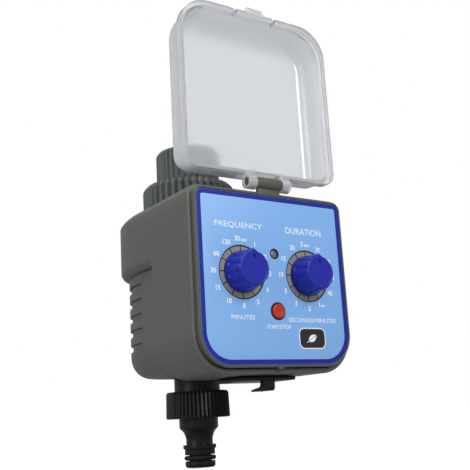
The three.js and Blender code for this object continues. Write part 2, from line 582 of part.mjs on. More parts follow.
const motorLead = () => lead([[MOTOR[0], 22.2, MOTOR[1]], [MOTOR[0] - 1, 19, MOTOR[1] - 1],
  [MOTOR[0] - 3, 14, MOTOR[1] - 3], [MOTOR[0] - 3, 10, MOTOR[1] - 3]], 1.1);
const batteryLead = () => lead([[-6, 20, 54.9], [-6.5, 19, 57.5], [-9, 14, 60], [-10, 10, 60]], 1.1);

// ---------------------------------------------------------------- the assembly
const timer = new THREE.Group();

function add(name, body, material, parent = timer) {
  const mesh = new THREE.Mesh(geometryOf(body), material);
  mesh.name = name;
  parent.add(mesh);
}

add('rear_housing', rearHousing(), CASE_GREY);
add('front_bezel', frontBezel(), CASE_GREY);
add('bezel_gasket', bezelGasket(), RUBBER);
add('face_label', faceLabel(), LABEL_BLUE);
BEZEL_SCREWS.forEach((place, i) => add(`bezel_screw_${i + 1}`, bezelScrew(place), STEEL));

for (const [name, x] of [['frequency', -DIAL.x], ['duration', DIAL.x]]) {
  add(`${name}_knob`, knob(x), KNOB_BLUE);
  add(`${name}_shaft`, dialShaft(x), WHITE_NYLON);
  add(`${name}_shaft_seal`, shaftSeal(x), RUBBER);
  add(`${name}_switch`, rotarySwitch(x), BLACK);
}

add('start_stop_button', startStopButton(), RED);
add('button_seal', buttonSeal(), RUBBER);
add('tact_switch', tactSwitch(), BLACK);
add('lamp_lens', lampLens(), SMOKE);
add('status_lamp', statusLamp(), RED);
add('circuit_board', circuitBoard(), BOARD_GREEN);
add('clear_lid', lid(), CLEAR);

add('battery_drawer', batteryDrawer(), BLACK);
add('drawer_seal', drawerSeal(), RUBBER);
for (const [name, side] of [['left', -1], ['right', 1]]) {
  add(`battery_${name}`, battery(side), CELL_GREY);
  add(`pocket_contact_${name}`, pocketContact(side), STEEL);
}

add('inlet_nut', inletNut(), RING_GREY);
add('inlet_adapter', inletAdapter(), RING_GREY);
add('tap_washer', tapWasher(), RUBBER);
add('adapter_washer', adapterWasher(), RUBBER);
add('inlet_filter', inletFilter(), WHITE_NYLON);
add('inlet_spigot', inletSpigot(), BLACK);
add('valve_body', valveBody(), BLACK);
add('upper_ball_seat', ballSeat(1), WHITE_NYLON);
add('lower_ball_seat', ballSeat(-1), WHITE_NYLON);
add('valve_ball', valveBall(), BRASS);
add('ball_stem', ballStem(), STEEL);
add('stem_seal', stemSeal(), RUBBER);
add('outlet_connector', outletConnector(), BLACK);
add('outlet_washer', outletWasher(), RUBBER);
add('nipple_ring', nippleRing(), RUBBER);

add('ball_gear', ballGear(), WHITE_NYLON);
add('idler_gear', idlerGear(), WHITE_NYLON);
add('idler_axle', idlerAxle(), STEEL);
add('motor_pinion', motorPinion(), BRASS);
add('gear_motor', gearMotor(), STEEL);
add('gearbox_plate', gearboxPlate(), BLACK);
add('position_switch', positionSwitch(), BLACK);
add('motor_lead', motorLead(), RED);
add('battery_lead', batteryLead(), RUBBER);

timer.position.set(0, -COLUMN_Y, -INLET_TOP);
const part = new THREE.Group();
part.add(timer);

export default part;
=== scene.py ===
"""Drip irrigation timer for a garden tap: two dials, a flip-up clear lid and a quick-connect outlet.

Each sub-assembly is a class. Its fields are sizes in millimetres in "case coordinates": x = 0 on the middle
plane, y = 0 on the front of the face label and growing backwards, z = 0 on the label's bottom edge.
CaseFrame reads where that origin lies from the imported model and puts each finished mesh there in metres.
"""
import json
import logging
import math
from collections.abc import Callable, Iterable, Sequence
from dataclasses import dataclass, field
from enum import Enum

import bmesh
import bpy
from mathutils import Matrix, Vector


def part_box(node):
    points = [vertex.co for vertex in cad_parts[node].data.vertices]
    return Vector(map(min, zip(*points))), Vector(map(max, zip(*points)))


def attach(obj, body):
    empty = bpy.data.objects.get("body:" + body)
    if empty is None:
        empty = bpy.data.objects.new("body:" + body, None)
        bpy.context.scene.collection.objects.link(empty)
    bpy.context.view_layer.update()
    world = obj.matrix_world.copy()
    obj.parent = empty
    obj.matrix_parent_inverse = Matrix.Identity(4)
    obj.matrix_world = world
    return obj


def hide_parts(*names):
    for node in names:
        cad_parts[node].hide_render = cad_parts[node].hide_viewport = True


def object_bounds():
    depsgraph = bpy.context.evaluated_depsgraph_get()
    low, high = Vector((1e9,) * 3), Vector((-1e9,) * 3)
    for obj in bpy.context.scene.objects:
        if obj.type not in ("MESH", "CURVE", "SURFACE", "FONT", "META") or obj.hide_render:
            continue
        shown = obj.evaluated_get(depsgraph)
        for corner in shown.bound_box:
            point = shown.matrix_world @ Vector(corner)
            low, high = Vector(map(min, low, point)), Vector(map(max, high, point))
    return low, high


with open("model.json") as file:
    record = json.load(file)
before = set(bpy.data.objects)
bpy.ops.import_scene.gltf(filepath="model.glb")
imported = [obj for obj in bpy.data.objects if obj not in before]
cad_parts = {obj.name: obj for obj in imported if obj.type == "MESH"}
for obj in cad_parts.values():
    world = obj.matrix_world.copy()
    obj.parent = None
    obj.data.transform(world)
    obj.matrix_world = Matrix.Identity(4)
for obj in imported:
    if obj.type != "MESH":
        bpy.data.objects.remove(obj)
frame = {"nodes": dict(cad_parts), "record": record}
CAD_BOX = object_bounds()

LOG = logging.getLogger("timer")
MM = 0.001
Point = tuple[float, float]
Corner = tuple[float, float, float]
Colour = tuple[float, float, float]
Row = tuple[float, float, float, float]


class Body(Enum):
    """The bodies that pieces ride on."""

    CASE = "timer_case"
    LID = "lid"
    FREQUENCY = "frequency_dial"
    DURATION = "duration_dial"
    BUTTON = "start_stop"
    DRAWER = "drawer"
    SWIVEL = "inlet_swivel"


class Facing(Enum):
    """Which way a turned piece's own height axis points once it stands in the case."""

    UP = Matrix.Identity(4)
    FRONT = Matrix(((1, 0, 0, 0), (0, 0, -1, 0), (0, 1, 0, 0), (0, 0, 0, 1)))
    RIGHT = Matrix(((0, 0, 1, 0), (1, 0, 0, 0), (0, 1, 0, 0), (0, 0, 0, 1)))


class Cut(Enum):
    """What a boolean does with the second solid."""

    AWAY = "DIFFERENCE"
    JOIN = "UNION"


# ---------------------------------------------------------------- mesh tools
def ease(value: float, start: float, end: float) -> float:
    """Returns 0 before start, 1 after end and a smooth step between them."""
    t = min(max((value - start) / (end - start), 0.0), 1.0)
    return t * t * (3 - 2 * t)


def rounded_outline(half: float, low: float, high: float, r_low: float, r_high: float,
                    steps: int = 10) -> list[Point]:
    """Returns a closed outline, as wide as 2 * half, with round corners.

    Args:
        half: half of the width.
        low, high: the bottom and the top edge.
        r_low, r_high: radii of the two lower and the two upper corners.
        steps: straight pieces in each corner.
    """
    corners = ((half - r_low, low + r_low, r_low, -90), (half - r_high, high - r_high, r_high, 0),
               (-half + r_high, high - r_high, r_high, 90), (-half + r_low, low + r_low, r_low, 180))
    points = []
    for x, z, r, start in corners:
        for i in range(steps + 1):
            angle = math.radians(start + 90 * i / steps)
            points.append((x + r * math.cos(angle), z + r * math.sin(angle)))
    return points


def softened(corners: Sequence[Corner], steps: int = 4) -> list[Point]:
    """Returns a closed profile whose corners are rounded.

    Args:
        corners: (first, second, radius) of each corner; a radius of 0 keeps it sharp.
        steps: straight pieces in each round.
    """
    points = []
    for i, (x, y, radius) in enumerate(corners):
        here = Vector((x, y))
        if radius <= 0:
            points.append((x, y))
            continue
        before = Vector(corners[i - 1][:2]) - here
        after = Vector(corners[(i + 1) % len(corners)][:2]) - here
        reach = min(radius, before.length * 0.49, after.length * 0.49)
        start, end = here + before.normalized() * reach, here + after.normalized() * reach
        for k in range(steps + 1):
            t = k / steps
            at = start * (1 - t) ** 2 + here * 2 * t * (1 - t) + end * t * t
            points.append((at.x, at.y))
    return points


def tidy(bm: bmesh.types.BMesh) -> bmesh.types.BMesh:
    """Closes seams and poles and turns every face outwards."""
    bmesh.ops.remove_doubles(bm, verts=bm.verts, dist=1e-4)
    bmesh.ops.dissolve_degenerate(bm, edges=bm.edges, dist=1e-5)
    bmesh.ops.recalc_face_normals(bm, faces=bm.faces)
    return bm


def loft(rings: Sequence[Sequence[Vector]], capped: bool = True, looped: bool = False) -> bmesh.types.BMesh:
    """Returns a skin over rings that have the same number of points.

    Args:
        rings: closed rings in order.
        capped: closes the first and the last ring with a flat face.
        looped: joins the last ring to the first, as on a torus.
    """
    bm = bmesh.new()
    made = [[bm.verts.new(p) for p in ring] for ring in rings]
    pairs = list(zip(made, made[1:]))
    if looped:
        pairs.append((made[-1], made[0]))
    for a, b in pairs:
        for i in range(len(a)):
            k = (i + 1) % len(a)
            bm.faces.new((a[i], a[k], b[k], b[i]))
    if capped and not looped:
        bm.faces.new(made[0][::-1])
        bm.faces.new(made[-1])
    return tidy(bm)


def lathe(profile: Sequence[Point], segments: int = 96,
          reach: Callable[[float, float, float], float] | None = None) -> bmesh.types.BMesh:
    """Returns a solid of revolution about its own height axis.

    Args:
        profile: closed (radius, height) outline.
        segments: steps around.
        reach: (radius, height, angle) to the radius there, where the piece isn't round.
    """
    rings = []
    for i in range(segments):
        angle = 2 * math.pi * i / segments
        ring = []
        for r, z in profile:
            far = reach(r, z, angle) if reach else r
            ring.append(Vector((far * math.cos(angle), far * math.sin(angle), z)))
        rings.append(ring)
    return loft(rings, capped=False, looped=True)


def rod(length: Point, radius: float, soft: float = 0.0, segments: int = 64) -> bmesh.types.BMesh:
    """Returns a cylinder about the height axis, from length[0] to length[1], with soft edges."""
    low, high = length
    return lathe(softened([(0, low, 0), (radius, low, soft), (radius, high, soft), (0, high, 0)]), segments)


def cuboid(x: Point, y: Point, z: Point, soft: float = 0.0, segments: int = 3) -> bmesh.types.BMesh:
    """Returns a block between the given limits with its edges rounded by soft."""
    bm = bmesh.new()
    bmesh.ops.create_cube(bm, size=1)
    bmesh.ops.scale(bm, verts=bm.verts, vec=(x[1] - x[0], y[1] - y[0], z[1] - z[0]))
    bmesh.ops.translate(bm, verts=bm.verts, vec=((x[0] + x[1]) / 2, (y[0] + y[1]) / 2, (z[0] + z[1]) / 2))
    return soften(bm, soft, segments) if soft else bm


def soften(bm: bmesh.types.BMesh, width: float, segments: int = 3,
           sharper: float = 40) -> bmesh.types.BMesh:
    """Rounds every edge that turns by more than an angle.

    Args:
        bm: the closed mesh.
        width: how far the round reaches from the edge.
        segments: straight pieces across it.
        sharper: the angle in degrees above which an edge is rounded.
    """
    limit = math.radians(sharper)
    edges = [e for e in bm.edges if len(e.link_faces) == 2 and e.calc_face_angle(0) > limit]
    bmesh.ops.bevel(bm, geom=edges, offset=width, offset_type="OFFSET", segments=segments, profile=0.5,
                    affect="EDGES", clamp_overlap=True)
    return bm


def prism(outline: Sequence[Point], depth: Point, facing: Facing, soft: float = 0.0) -> bmesh.types.BMesh:
    """Returns an outline pushed out between two depths along the axis that faces the given way."""
    rings = [[Vector((a, b, d)) for a, b in outline] for d in depth]
    bm = loft(rings)
    bm.transform(facing.value)
    return soften(bm, soft) if soft else bm


def stand(bm: bmesh.types.BMesh, facing: Facing, at: Sequence[float]) -> bmesh.types.BMesh:
    """Turns a mesh from its own upright axes and moves it to a place in the case."""
    bm.transform(Matrix.Translation(Vector(at)) @ facing.value)
    return bm


def solid(name: str, bm: bmesh.types.BMesh) -> bpy.types.Object:
    """Makes an object from a mesh in work and frees the latter."""
    mesh = bpy.data.meshes.new(name)
    bm.to_mesh(mesh)
    bm.free()
    piece = bpy.data.objects.new(name, mesh)
    bpy.context.scene.collection.objects.link(piece)
    return piece


def evaluated(piece: bpy.types.Object) -> None:
    """Keeps what the piece's modifiers make as its mesh and takes the modifiers off."""
    graph = bpy.context.evaluated_depsgraph_get()
    made = bpy.data.meshes.new_from_object(piece.evaluated_get(graph), preserve_all_data_layers=True,
                                           depsgraph=graph)
    old = piece.data
    piece.modifiers.clear()
    piece.data = made
    bpy.data.meshes.remove(old)


def carve(piece: bpy.types.Object, tools: Iterable[bmesh.types.BMesh],
          cut: Cut = Cut.AWAY) -> bpy.types.Object:
    """Cuts solids out of a piece, or joins them to it, one after another."""
    for bm in tools:
        tool = solid("tool", bm)
        boolean = piece.modifiers.new("boolean", "BOOLEAN")
        boolean.operation = cut.value
        boolean.solver = "EXACT"
        boolean.object = tool
        evaluated(piece)
        mesh = tool.data
        bpy.data.objects.remove(tool)
        bpy.data.meshes.remove(mesh)
    return piece


def blended(*parts: bmesh.types.BMesh) -> bmesh.types.BMesh:
    """Puts several meshes in work into the first of them."""
    first, *others = parts
    for bm in others:
        mesh = bpy.data.meshes.new("part")
        bm.to_mesh(mesh)
        bm.free()
        first.from_mesh(mesh)
        bpy.data.meshes.remove(mesh)
    return first


@dataclass(frozen=True)
class CaseFrame:
    """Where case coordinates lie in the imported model."""

    origin: Vector

    @classmethod
    def read(cls) -> "CaseFrame":
        """Reads the origin from the face label's box."""
        low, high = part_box("face_label")
        return cls(Vector(((low[0] + high[0]) / 2, low[1], low[2])))

    def matrix(self) -> Matrix:
        """Returns the move from case millimetres to the model's metres."""
        return Matrix.Translation(self.origin) @ Matrix.Scale(MM, 4)

    def settle(self, piece: bpy.types.Object, material: bpy.types.Material | None, body: Body, slot: str,
               nodes: Sequence[str] = (), crease: float = 32) -> bpy.types.Object:
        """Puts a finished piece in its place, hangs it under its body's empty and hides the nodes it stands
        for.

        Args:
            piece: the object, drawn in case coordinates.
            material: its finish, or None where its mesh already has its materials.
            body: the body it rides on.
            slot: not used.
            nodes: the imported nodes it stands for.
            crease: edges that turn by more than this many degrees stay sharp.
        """
        mesh = piece.data
        mesh.transform(self.matrix())
        if material:
            mesh.materials.clear()
            mesh.materials.append(material)
        mesh.shade_smooth()
        mesh.set_sharp_from_angle(angle=math.radians(crease))
        mesh.update()
        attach(piece, body.value)
        if nodes:
            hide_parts(*nodes)
        LOG.info("%s: %d faces on %s", piece.name, len(mesh.polygons), body.value)
        return piece


# ---------------------------------------------------------------- node tools
SOCKET_TYPES = {float: "Float", int: "Int", tuple: "Vector"}


class Wiring:
    """Short words for building a node tree."""

    def __init__(self, tree: bpy.types.NodeTree) -> None:
        """Starts work on a tree."""
        self.tree = tree

    @classmethod
    def group(cls, name: str, kind: str, takes: dict[str, object], gives: dict[str, str]) -> "Wiring":
        """Starts a new node group with its named sockets.

        Args:
            name: the group's name.
            kind: the type of the tree.
            takes: the inputs by name; a number or a vector is a default, a text is the type of the socket.
            gives: the types of the outputs by name.

        Returns:
            The work on the new group's tree.
        """
        work = cls(bpy.data.node_groups.new(name, kind))
        sockets = work.tree.interface
        for label, socket_type in gives.items():
            sockets.new_socket(label, in_out="OUTPUT", socket_type=f"NodeSocket{socket_type}")
        for label, given in takes.items():
            typed = isinstance(given, str)
            socket_type = given if typed else SOCKET_TYPES[type(given)]
            item = sockets.new_socket(label, in_out="INPUT", socket_type=f"NodeSocket{socket_type}")
            if not typed:
                item.default_value = given
        return work

    def given(self) -> bpy.types.NodeOutputs:
        """Adds the node that brings in the group's inputs and returns its sockets."""
        return self.node("NodeGroupInput").outputs

    def fill(self, node: bpy.types.Node, inputs: dict[str | int, object]) -> None:
        """Links a socket, or writes a plain value, into each input that is named or numbered."""
        for key, value in inputs.items():
            if isinstance(value, bpy.types.NodeSocket):
                self.tree.links.new(value, node.inputs[key])
            else:
                node.inputs[key].default_value = value

    def node(self, kind: str, inputs: dict[str | int, object] | None = None,
             **settings: object) -> bpy.types.Node:
        """Adds a node, sets its properties and fills its inputs."""
        made = self.tree.nodes.new(kind)
        for key, value in settings.items():
            setattr(made, key, value)
        self.fill(made, inputs or {})
        return made

    def maths(self, operation: str, *values: object) -> bpy.types.NodeSocket:
        """Adds a Math node over sockets or numbers and returns its result."""
        return self.node("ShaderNodeMath", dict(enumerate(values)), operation=operation).outputs[0]

    def product(self, *values: object) -> bpy.types.NodeSocket:
        """Returns the product of sockets or numbers, taken from left to right."""
        result, *others = values
        for value in others:
            result = self.maths("MULTIPLY", result, value)
        return result

    def bump(self, height: bpy.types.NodeSocket, strength: float, depth: float) -> bpy.types.NodeSocket:
        """Returns the normal of a height.

        Args:
            height: the height's socket.
            strength: how strongly it shows.
            depth: what a height of 1 stands for, in metres.
        """
        inputs = {"Strength": strength, "Distance": depth, "Height": height}
        return self.node("ShaderNodeBump", inputs).outputs[0]


def run_tree(piece: bpy.types.Object, tree: bpy.types.NodeTree, **values: object) -> bpy.types.Object:
    """Runs a geometry tree on a piece and keeps the result as a plain mesh.

    Args:
        piece: the object the tree starts from.
        tree: the geometry node tree.
        **values: the tree's inputs by name.

    Returns:
        The same piece.
    """
    modifier = piece.modifiers.new(tree.name, "NODES")
    modifier.node_group = tree
    for item in tree.interface.items_tree:
        if item.item_type == "SOCKET" and item.in_out == "INPUT" and item.name in values:
            modifier[item.identifier] = values[item.name]
    evaluated(piece)
    return piece


class Rules:
    """The geometry trees that make what repeats or follows a rule."""

    def __init__(self) -> None:
        """Builds each tree once."""
        self.flutes = self.build_flutes()
        self.ticks = self.build_ticks()
        self.thread = self.build_thread()

    @staticmethod
    def start(name: str, **takes: object) -> Wiring:
        """Starts a tree that takes and gives a geometry and takes a finish and the given values."""
        inputs = {"Geometry": "Geometry", **takes, "Finish": "Material"}
        return Wiring.group(name, "GeometryNodeTree", inputs, {"Geometry": "Geometry"})

    @staticmethod
    def close(work: Wiring, last: bpy.types.Node, finish: bpy.types.NodeSocket) -> bpy.types.NodeTree:
        """Ends a tree in Realize Instances and Set Material and returns it."""
        real = work.node("GeometryNodeRealizeInstances", {0: last.outputs[0]})
        dressed = work.node("GeometryNodeSetMaterial", {"Geometry": real.outputs[0], "Material": finish})
        work.node("NodeGroupOutput", {0: dressed.outputs[0]})
        return work.tree

    def build_flutes(self) -> bpy.types.NodeTree:
        """Returns the tree that presses flutes into a turned piece, where its grip attribute allows."""
        work = self.start("flutes", Count=24.0, Depth=0.6, Sharpness=2.0, Turn=0.0)
        given = work.given()
        position = work.node("GeometryNodeInputPosition").outputs[0]
        place = work.node("ShaderNodeSeparateXYZ", {0: position}).outputs
        turned = work.maths("SUBTRACT", work.maths("ARCTAN2", place["Y"], place["X"]), given["Turn"])
        phase = work.product(turned, given["Count"], 0.5)
        wave = work.maths("POWER", work.maths("ABSOLUTE", work.maths("COSINE", phase)), given["Sharpness"])
        grip_value = work.node("GeometryNodeInputNamedAttribute", {"Name": "grip"}, data_type="FLOAT")
        outward = work.product(wave, given["Depth"], grip_value.outputs["Attribute"], -1.0)
        flat = work.node("ShaderNodeCombineXYZ", {"X": place["X"], "Y": place["Y"]})
        away = work.node("ShaderNodeVectorMath", {0: flat.outputs[0]}, operation="NORMALIZE")
        shift = work.node("ShaderNodeVectorMath", {0: away.outputs[0], "Scale": outward}, operation="SCALE")
        moved = work.node("GeometryNodeSetPosition", {"Geometry": given["Geometry"],
                                                      "Offset": shift.outputs[0]})
        return self.close(work, moved, given["Finish"])

    def build_ticks(self) -> bpy.types.NodeTree:
        """Returns the tree that sets thin bars round a circle, standing in the plane of the face."""
        work = self.start("ticks", Count=12, Radius=11.6, Size=(0.3, 0.06, 1.9), Centre=(0.0, 0.0, 0.0))
        given = work.given()
        points = work.node("GeometryNodeMeshLine", {"Count": given["Count"],
                                                    "Start Location": given["Centre"],
                                                    "Offset": (0, 0, 0)}, mode="OFFSET")
        bar = work.node("GeometryNodeMeshCube", {"Size": given["Size"]})
        lift = work.node("ShaderNodeCombineXYZ", {"Z": given["Radius"]})
        raised = work.node("GeometryNodeTransform", {"Geometry": bar.outputs["Mesh"],
                                                     "Translation": lift.outputs[0]})
        share = work.maths("DIVIDE", work.node("GeometryNodeInputIndex").outputs[0], given["Count"])
        turn = work.node("ShaderNodeCombineXYZ", {"Y": work.maths("MULTIPLY", share, 2 * math.pi)})
        spread = work.node("GeometryNodeInstanceOnPoints", {"Points": points.outputs[0],
                                                            "Instance": raised.outputs[0],
                                                            "Rotation": turn.outputs[0]})
        return self.close(work, spread, given["Finish"])

    def build_thread(self) -> bpy.types.NodeTree:
        """Returns the tree that winds a screw thread's ridge about the height axis."""
        work = self.start("thread", Radius=13.0, Turns=5.0, Height=9.0, Ridge=0.6)
        given = work.given()
        helix = work.node("GeometryNodeCurveSpiral", {"Resolution": 64, "Rotations": given["Turns"],
                                                      "Start Radius": given["Radius"],
                                                      "End Radius": given["Radius"],
                                                      "Height": given["Height"]})
        section = work.node("GeometryNodeCurvePrimitiveCircle", {"Resolution": 6, "Radius": given["Ridge"]},
                            mode="RADIUS")
        ridge = work.node("GeometryNodeCurveToMesh", {"Fill Caps": True, "Curve": helix.outputs[0],
                                                      "Profile Curve": section.outputs[0]})
        return self.close(work, ridge, given["Finish"])


# ---------------------------------------------------------------- finishes
def tint(red: int, green: int, blue: int) -> Colour:
    """Returns a linear colour from display values between 0 and 255."""
    def linear(value: int) -> float:
        """Returns one channel without the display's curve."""
        share = value / 255
        return share / 12.92 if share <= 0.04045 else ((share + 0.055) / 1.055) ** 2.4
    return linear(red), linear(green), linear(blue)


class Effects:
    """Shader groups that several finishes share."""

    def __init__(self) -> None:
        """Builds each group once."""
        self.grain = self.build_grain()
        self.tone = self.build_tone()
        self.brushing = self.build_brushing()

    @staticmethod
    def build_grain() -> bpy.types.NodeTree:
        """Returns the eroded texture of a mould: fine pits with a coarser swell under them."""
        takes = {"Vector": "Vector", "Pitch": 0.4, "Swell": 0.3}
        work = Wiring.group("mould grain", "ShaderNodeTree", takes, {"Height": "Float", "Shine": "Float"})
        given = work.given()
        scale = work.maths("DIVIDE", 1000.0, given["Pitch"])
        fine = {"Vector": given["Vector"], "Scale": scale, "Smoothness": 0.7}
        pits = work.node("ShaderNodeTexVoronoi", fine, feature="SMOOTH_F1").outputs["Distance"]
        coarse = {"Vector": given["Vector"], "Scale": work.maths("MULTIPLY", scale, 0.12), "Detail": 3}
        swell = work.node("ShaderNodeTexNoise", coarse).outputs["Fac"]
        raised = work.maths("MULTIPLY", swell, given["Swell"])
        work.node("NodeGroupOutput", {"Height": work.maths("ADD", pits, raised),
                                      "Shine": work.maths("SUBTRACT", pits, 0.35)})
        return work.tree

    @staticmethod
    def build_tone() -> bpy.types.NodeTree:
        """Returns a surface's uneven tone: slow clouds, and pale dust where it faces up."""
        takes = {"Vector": "Vector", "Colour": "Color", "Dust Colour": "Color", "Depth": 0.06, "Dust": 0.1}
        work = Wiring.group("uneven tone", "ShaderNodeTree", takes, {"Colour": "Color", "Mask": "Float"})
        given = work.given()
        clouds = work.node("ShaderNodeTexNoise", {"Vector": given["Vector"], "Scale": 55, "Detail": 4})
        centred = work.maths("SUBTRACT", clouds.outputs["Fac"], 0.5)
        value = work.maths("ADD", work.maths("MULTIPLY", centred, given["Depth"]), 1.0)
        shade = work.node("ShaderNodeHueSaturation", {"Color": given["Colour"], "Value": value})
        normal = work.node("ShaderNodeNewGeometry").outputs["Normal"]
        facing = work.node("ShaderNodeSeparateXYZ", {0: normal})
        settled = work.maths("MAXIMUM", facing.outputs["Z"], 0.0)
        specks = work.node("ShaderNodeTexNoise", {"Vector": given["Vector"], "Scale": 900, "Detail": 2})
        patchy = work.product(settled, specks.outputs["Fac"], given["Dust"])
        mix = work.node("ShaderNodeMix", {"Factor": patchy, 6: shade.outputs[0], 7: given["Dust Colour"]},
                        data_type="RGBA")
        work.node("NodeGroupOutput", {"Colour": mix.outputs[2], "Mask": patchy})
        return work.tree

    @staticmethod
    def build_brushing() -> bpy.types.NodeTree:
        """Returns the fine lines that drawing or turning leaves on metal."""
        takes = {"Vector": "Vector", "Lines": 900.0}
        work = Wiring.group("brushing", "ShaderNodeTree", takes, {"Height": "Float"})
        given = work.given()
        stretch = work.node("ShaderNodeVectorMath", {0: given["Vector"], 1: (1.0, 0.04, 1.0)},
                            operation="MULTIPLY")
        lines = work.node("ShaderNodeTexNoise", {"Vector": stretch.outputs[0], "Scale": given["Lines"]})
        work.node("NodeGroupOutput", {"Height": lines.outputs["Fac"]})
        return work.tree


@dataclass(frozen=True)
class Recipe:
    """What every finish of a piece has: its name and colour, and how it starts its material."""

    name: str
    colour: Colour

    def start(self) -> tuple[bpy.types.Material, Wiring, bpy.types.Node, bpy.types.NodeSocket]:
        """Returns a new material, its wiring, its shader and the socket of the object's own coordinates."""
        material = bpy.data.materials.new(self.name)
        material.use_nodes = True
        work = Wiring(material.node_tree)
        shader = next(n for n in material.node_tree.nodes if n.type == "BSDF_PRINCIPLED")
        return material, work, shader, work.node("ShaderNodeTexCoord").outputs["Object"]


@dataclass(frozen=True)
class Moulded(Recipe):
    """A moulded plastic or rubber with an eroded grain and an uneven tone."""

    roughness: float = 0.5
    pitch: float = 0.45
    bite: float = 0.25
    mottle: float = 0.12
    dust: float = 0.12
    dust_colour: Colour = tint(168, 164, 152)
    gloss: float = 0.5
    patchiness: float = 0.15
    dulling: float = 0.3
    relief: float = 0.2

    def make(self, effects: Effects) -> bpy.types.Material:
        """Returns the finish as a material."""
        material, work, shader, place = self.start()
        tone = work.node("ShaderNodeGroup", {"Vector": place, "Colour": (*self.colour, 1),
                                             "Dust Colour": (*self.dust_colour, 1), "Depth": self.mottle,
                                             "Dust": self.dust}, node_tree=effects.tone).outputs
        grain = work.node("ShaderNodeGroup", {"Vector": place, "Pitch": self.pitch},
                          node_tree=effects.grain).outputs
        rough = work.maths("ADD", work.maths("MULTIPLY", grain["Shine"], self.patchiness), self.roughness)
        dulled = work.maths("ADD", rough, work.maths("MULTIPLY", tone["Mask"], self.dulling))
        normal = work.bump(grain["Height"], self.bite, self.pitch * MM * self.relief)
        work.fill(shader, {"Base Color": tone["Colour"], "Roughness": dulled, "Normal": normal,
                           "Specular IOR Level": self.gloss})
        return material


@dataclass(frozen=True)
class Metal(Recipe):
    """A bare metal with drawing lines."""

    roughness: float = 0.3
    lines: float = 1400.0
    patchiness: float = 0.2
    bite: float = 0.15
    relief: float = 0.00002

    def make(self, effects: Effects) -> bpy.types.Material:
        """Returns the finish as a material."""
        material, work, shader, place = self.start()
        colour = (*self.colour, 1)
        tone = work.node("ShaderNodeGroup", {"Vector": place, "Colour": colour, "Dust Colour": colour},
                         node_tree=effects.tone).outputs
        lines = work.node("ShaderNodeGroup", {"Vector": place, "Lines": self.lines},
                          node_tree=effects.brushing).outputs["Height"]
        centred = self.roughness - self.patchiness / 2
        rough = work.maths("ADD", work.maths("MULTIPLY", lines, self.patchiness), centred)
        work.fill(shader, {"Base Color": tone["Colour"], "Metallic": 1.0, "Roughness": rough,
                           "Normal": work.bump(lines, self.bite, self.relief)})
        return material


@dataclass(frozen=True)
class Clear(Recipe):
    """A clear moulding that is lightly frosted and milky."""

    roughness: float = 0.22
    clarity: float = 0.8
    varnish: float = 0.0
    frost: float = 0.9
    patchiness: float = 0.12
    bite: float = 0.08
    relief: float = 0.00004
    refraction: float = 1.46
    varnish_roughness: float = 0.06
    mottle: float = 0.04
    dust: float = 0.05
    dust_colour: Colour = (0.9, 0.9, 0.9)

    def make(self, effects: Effects) -> bpy.types.Material:
        """Returns the finish as a material."""
        material, work, shader, place = self.start()
        tone = work.node("ShaderNodeGroup", {"Vector": place, "Colour": (*self.colour, 1),
                                             "Dust Colour": (*self.dust_colour, 1), "Depth": self.mottle,
                                             "Dust": self.dust}, node_tree=effects.tone).outputs
        grain = work.node("ShaderNodeGroup", {"Vector": place, "Pitch": self.frost},
                          node_tree=effects.grain).outputs
        rough = work.maths("ADD", work.maths("MULTIPLY", grain["Shine"], self.patchiness), self.roughness)
        work.fill(shader, {"Base Color": tone["Colour"], "Roughness": rough, "IOR": self.refraction,
                           "Normal": work.bump(grain["Height"], self.bite, self.relief),
                           "Transmission Weight": self.clarity, "Coat Weight": self.varnish,
                           "Coat Roughness": self.varnish_roughness})
        return material


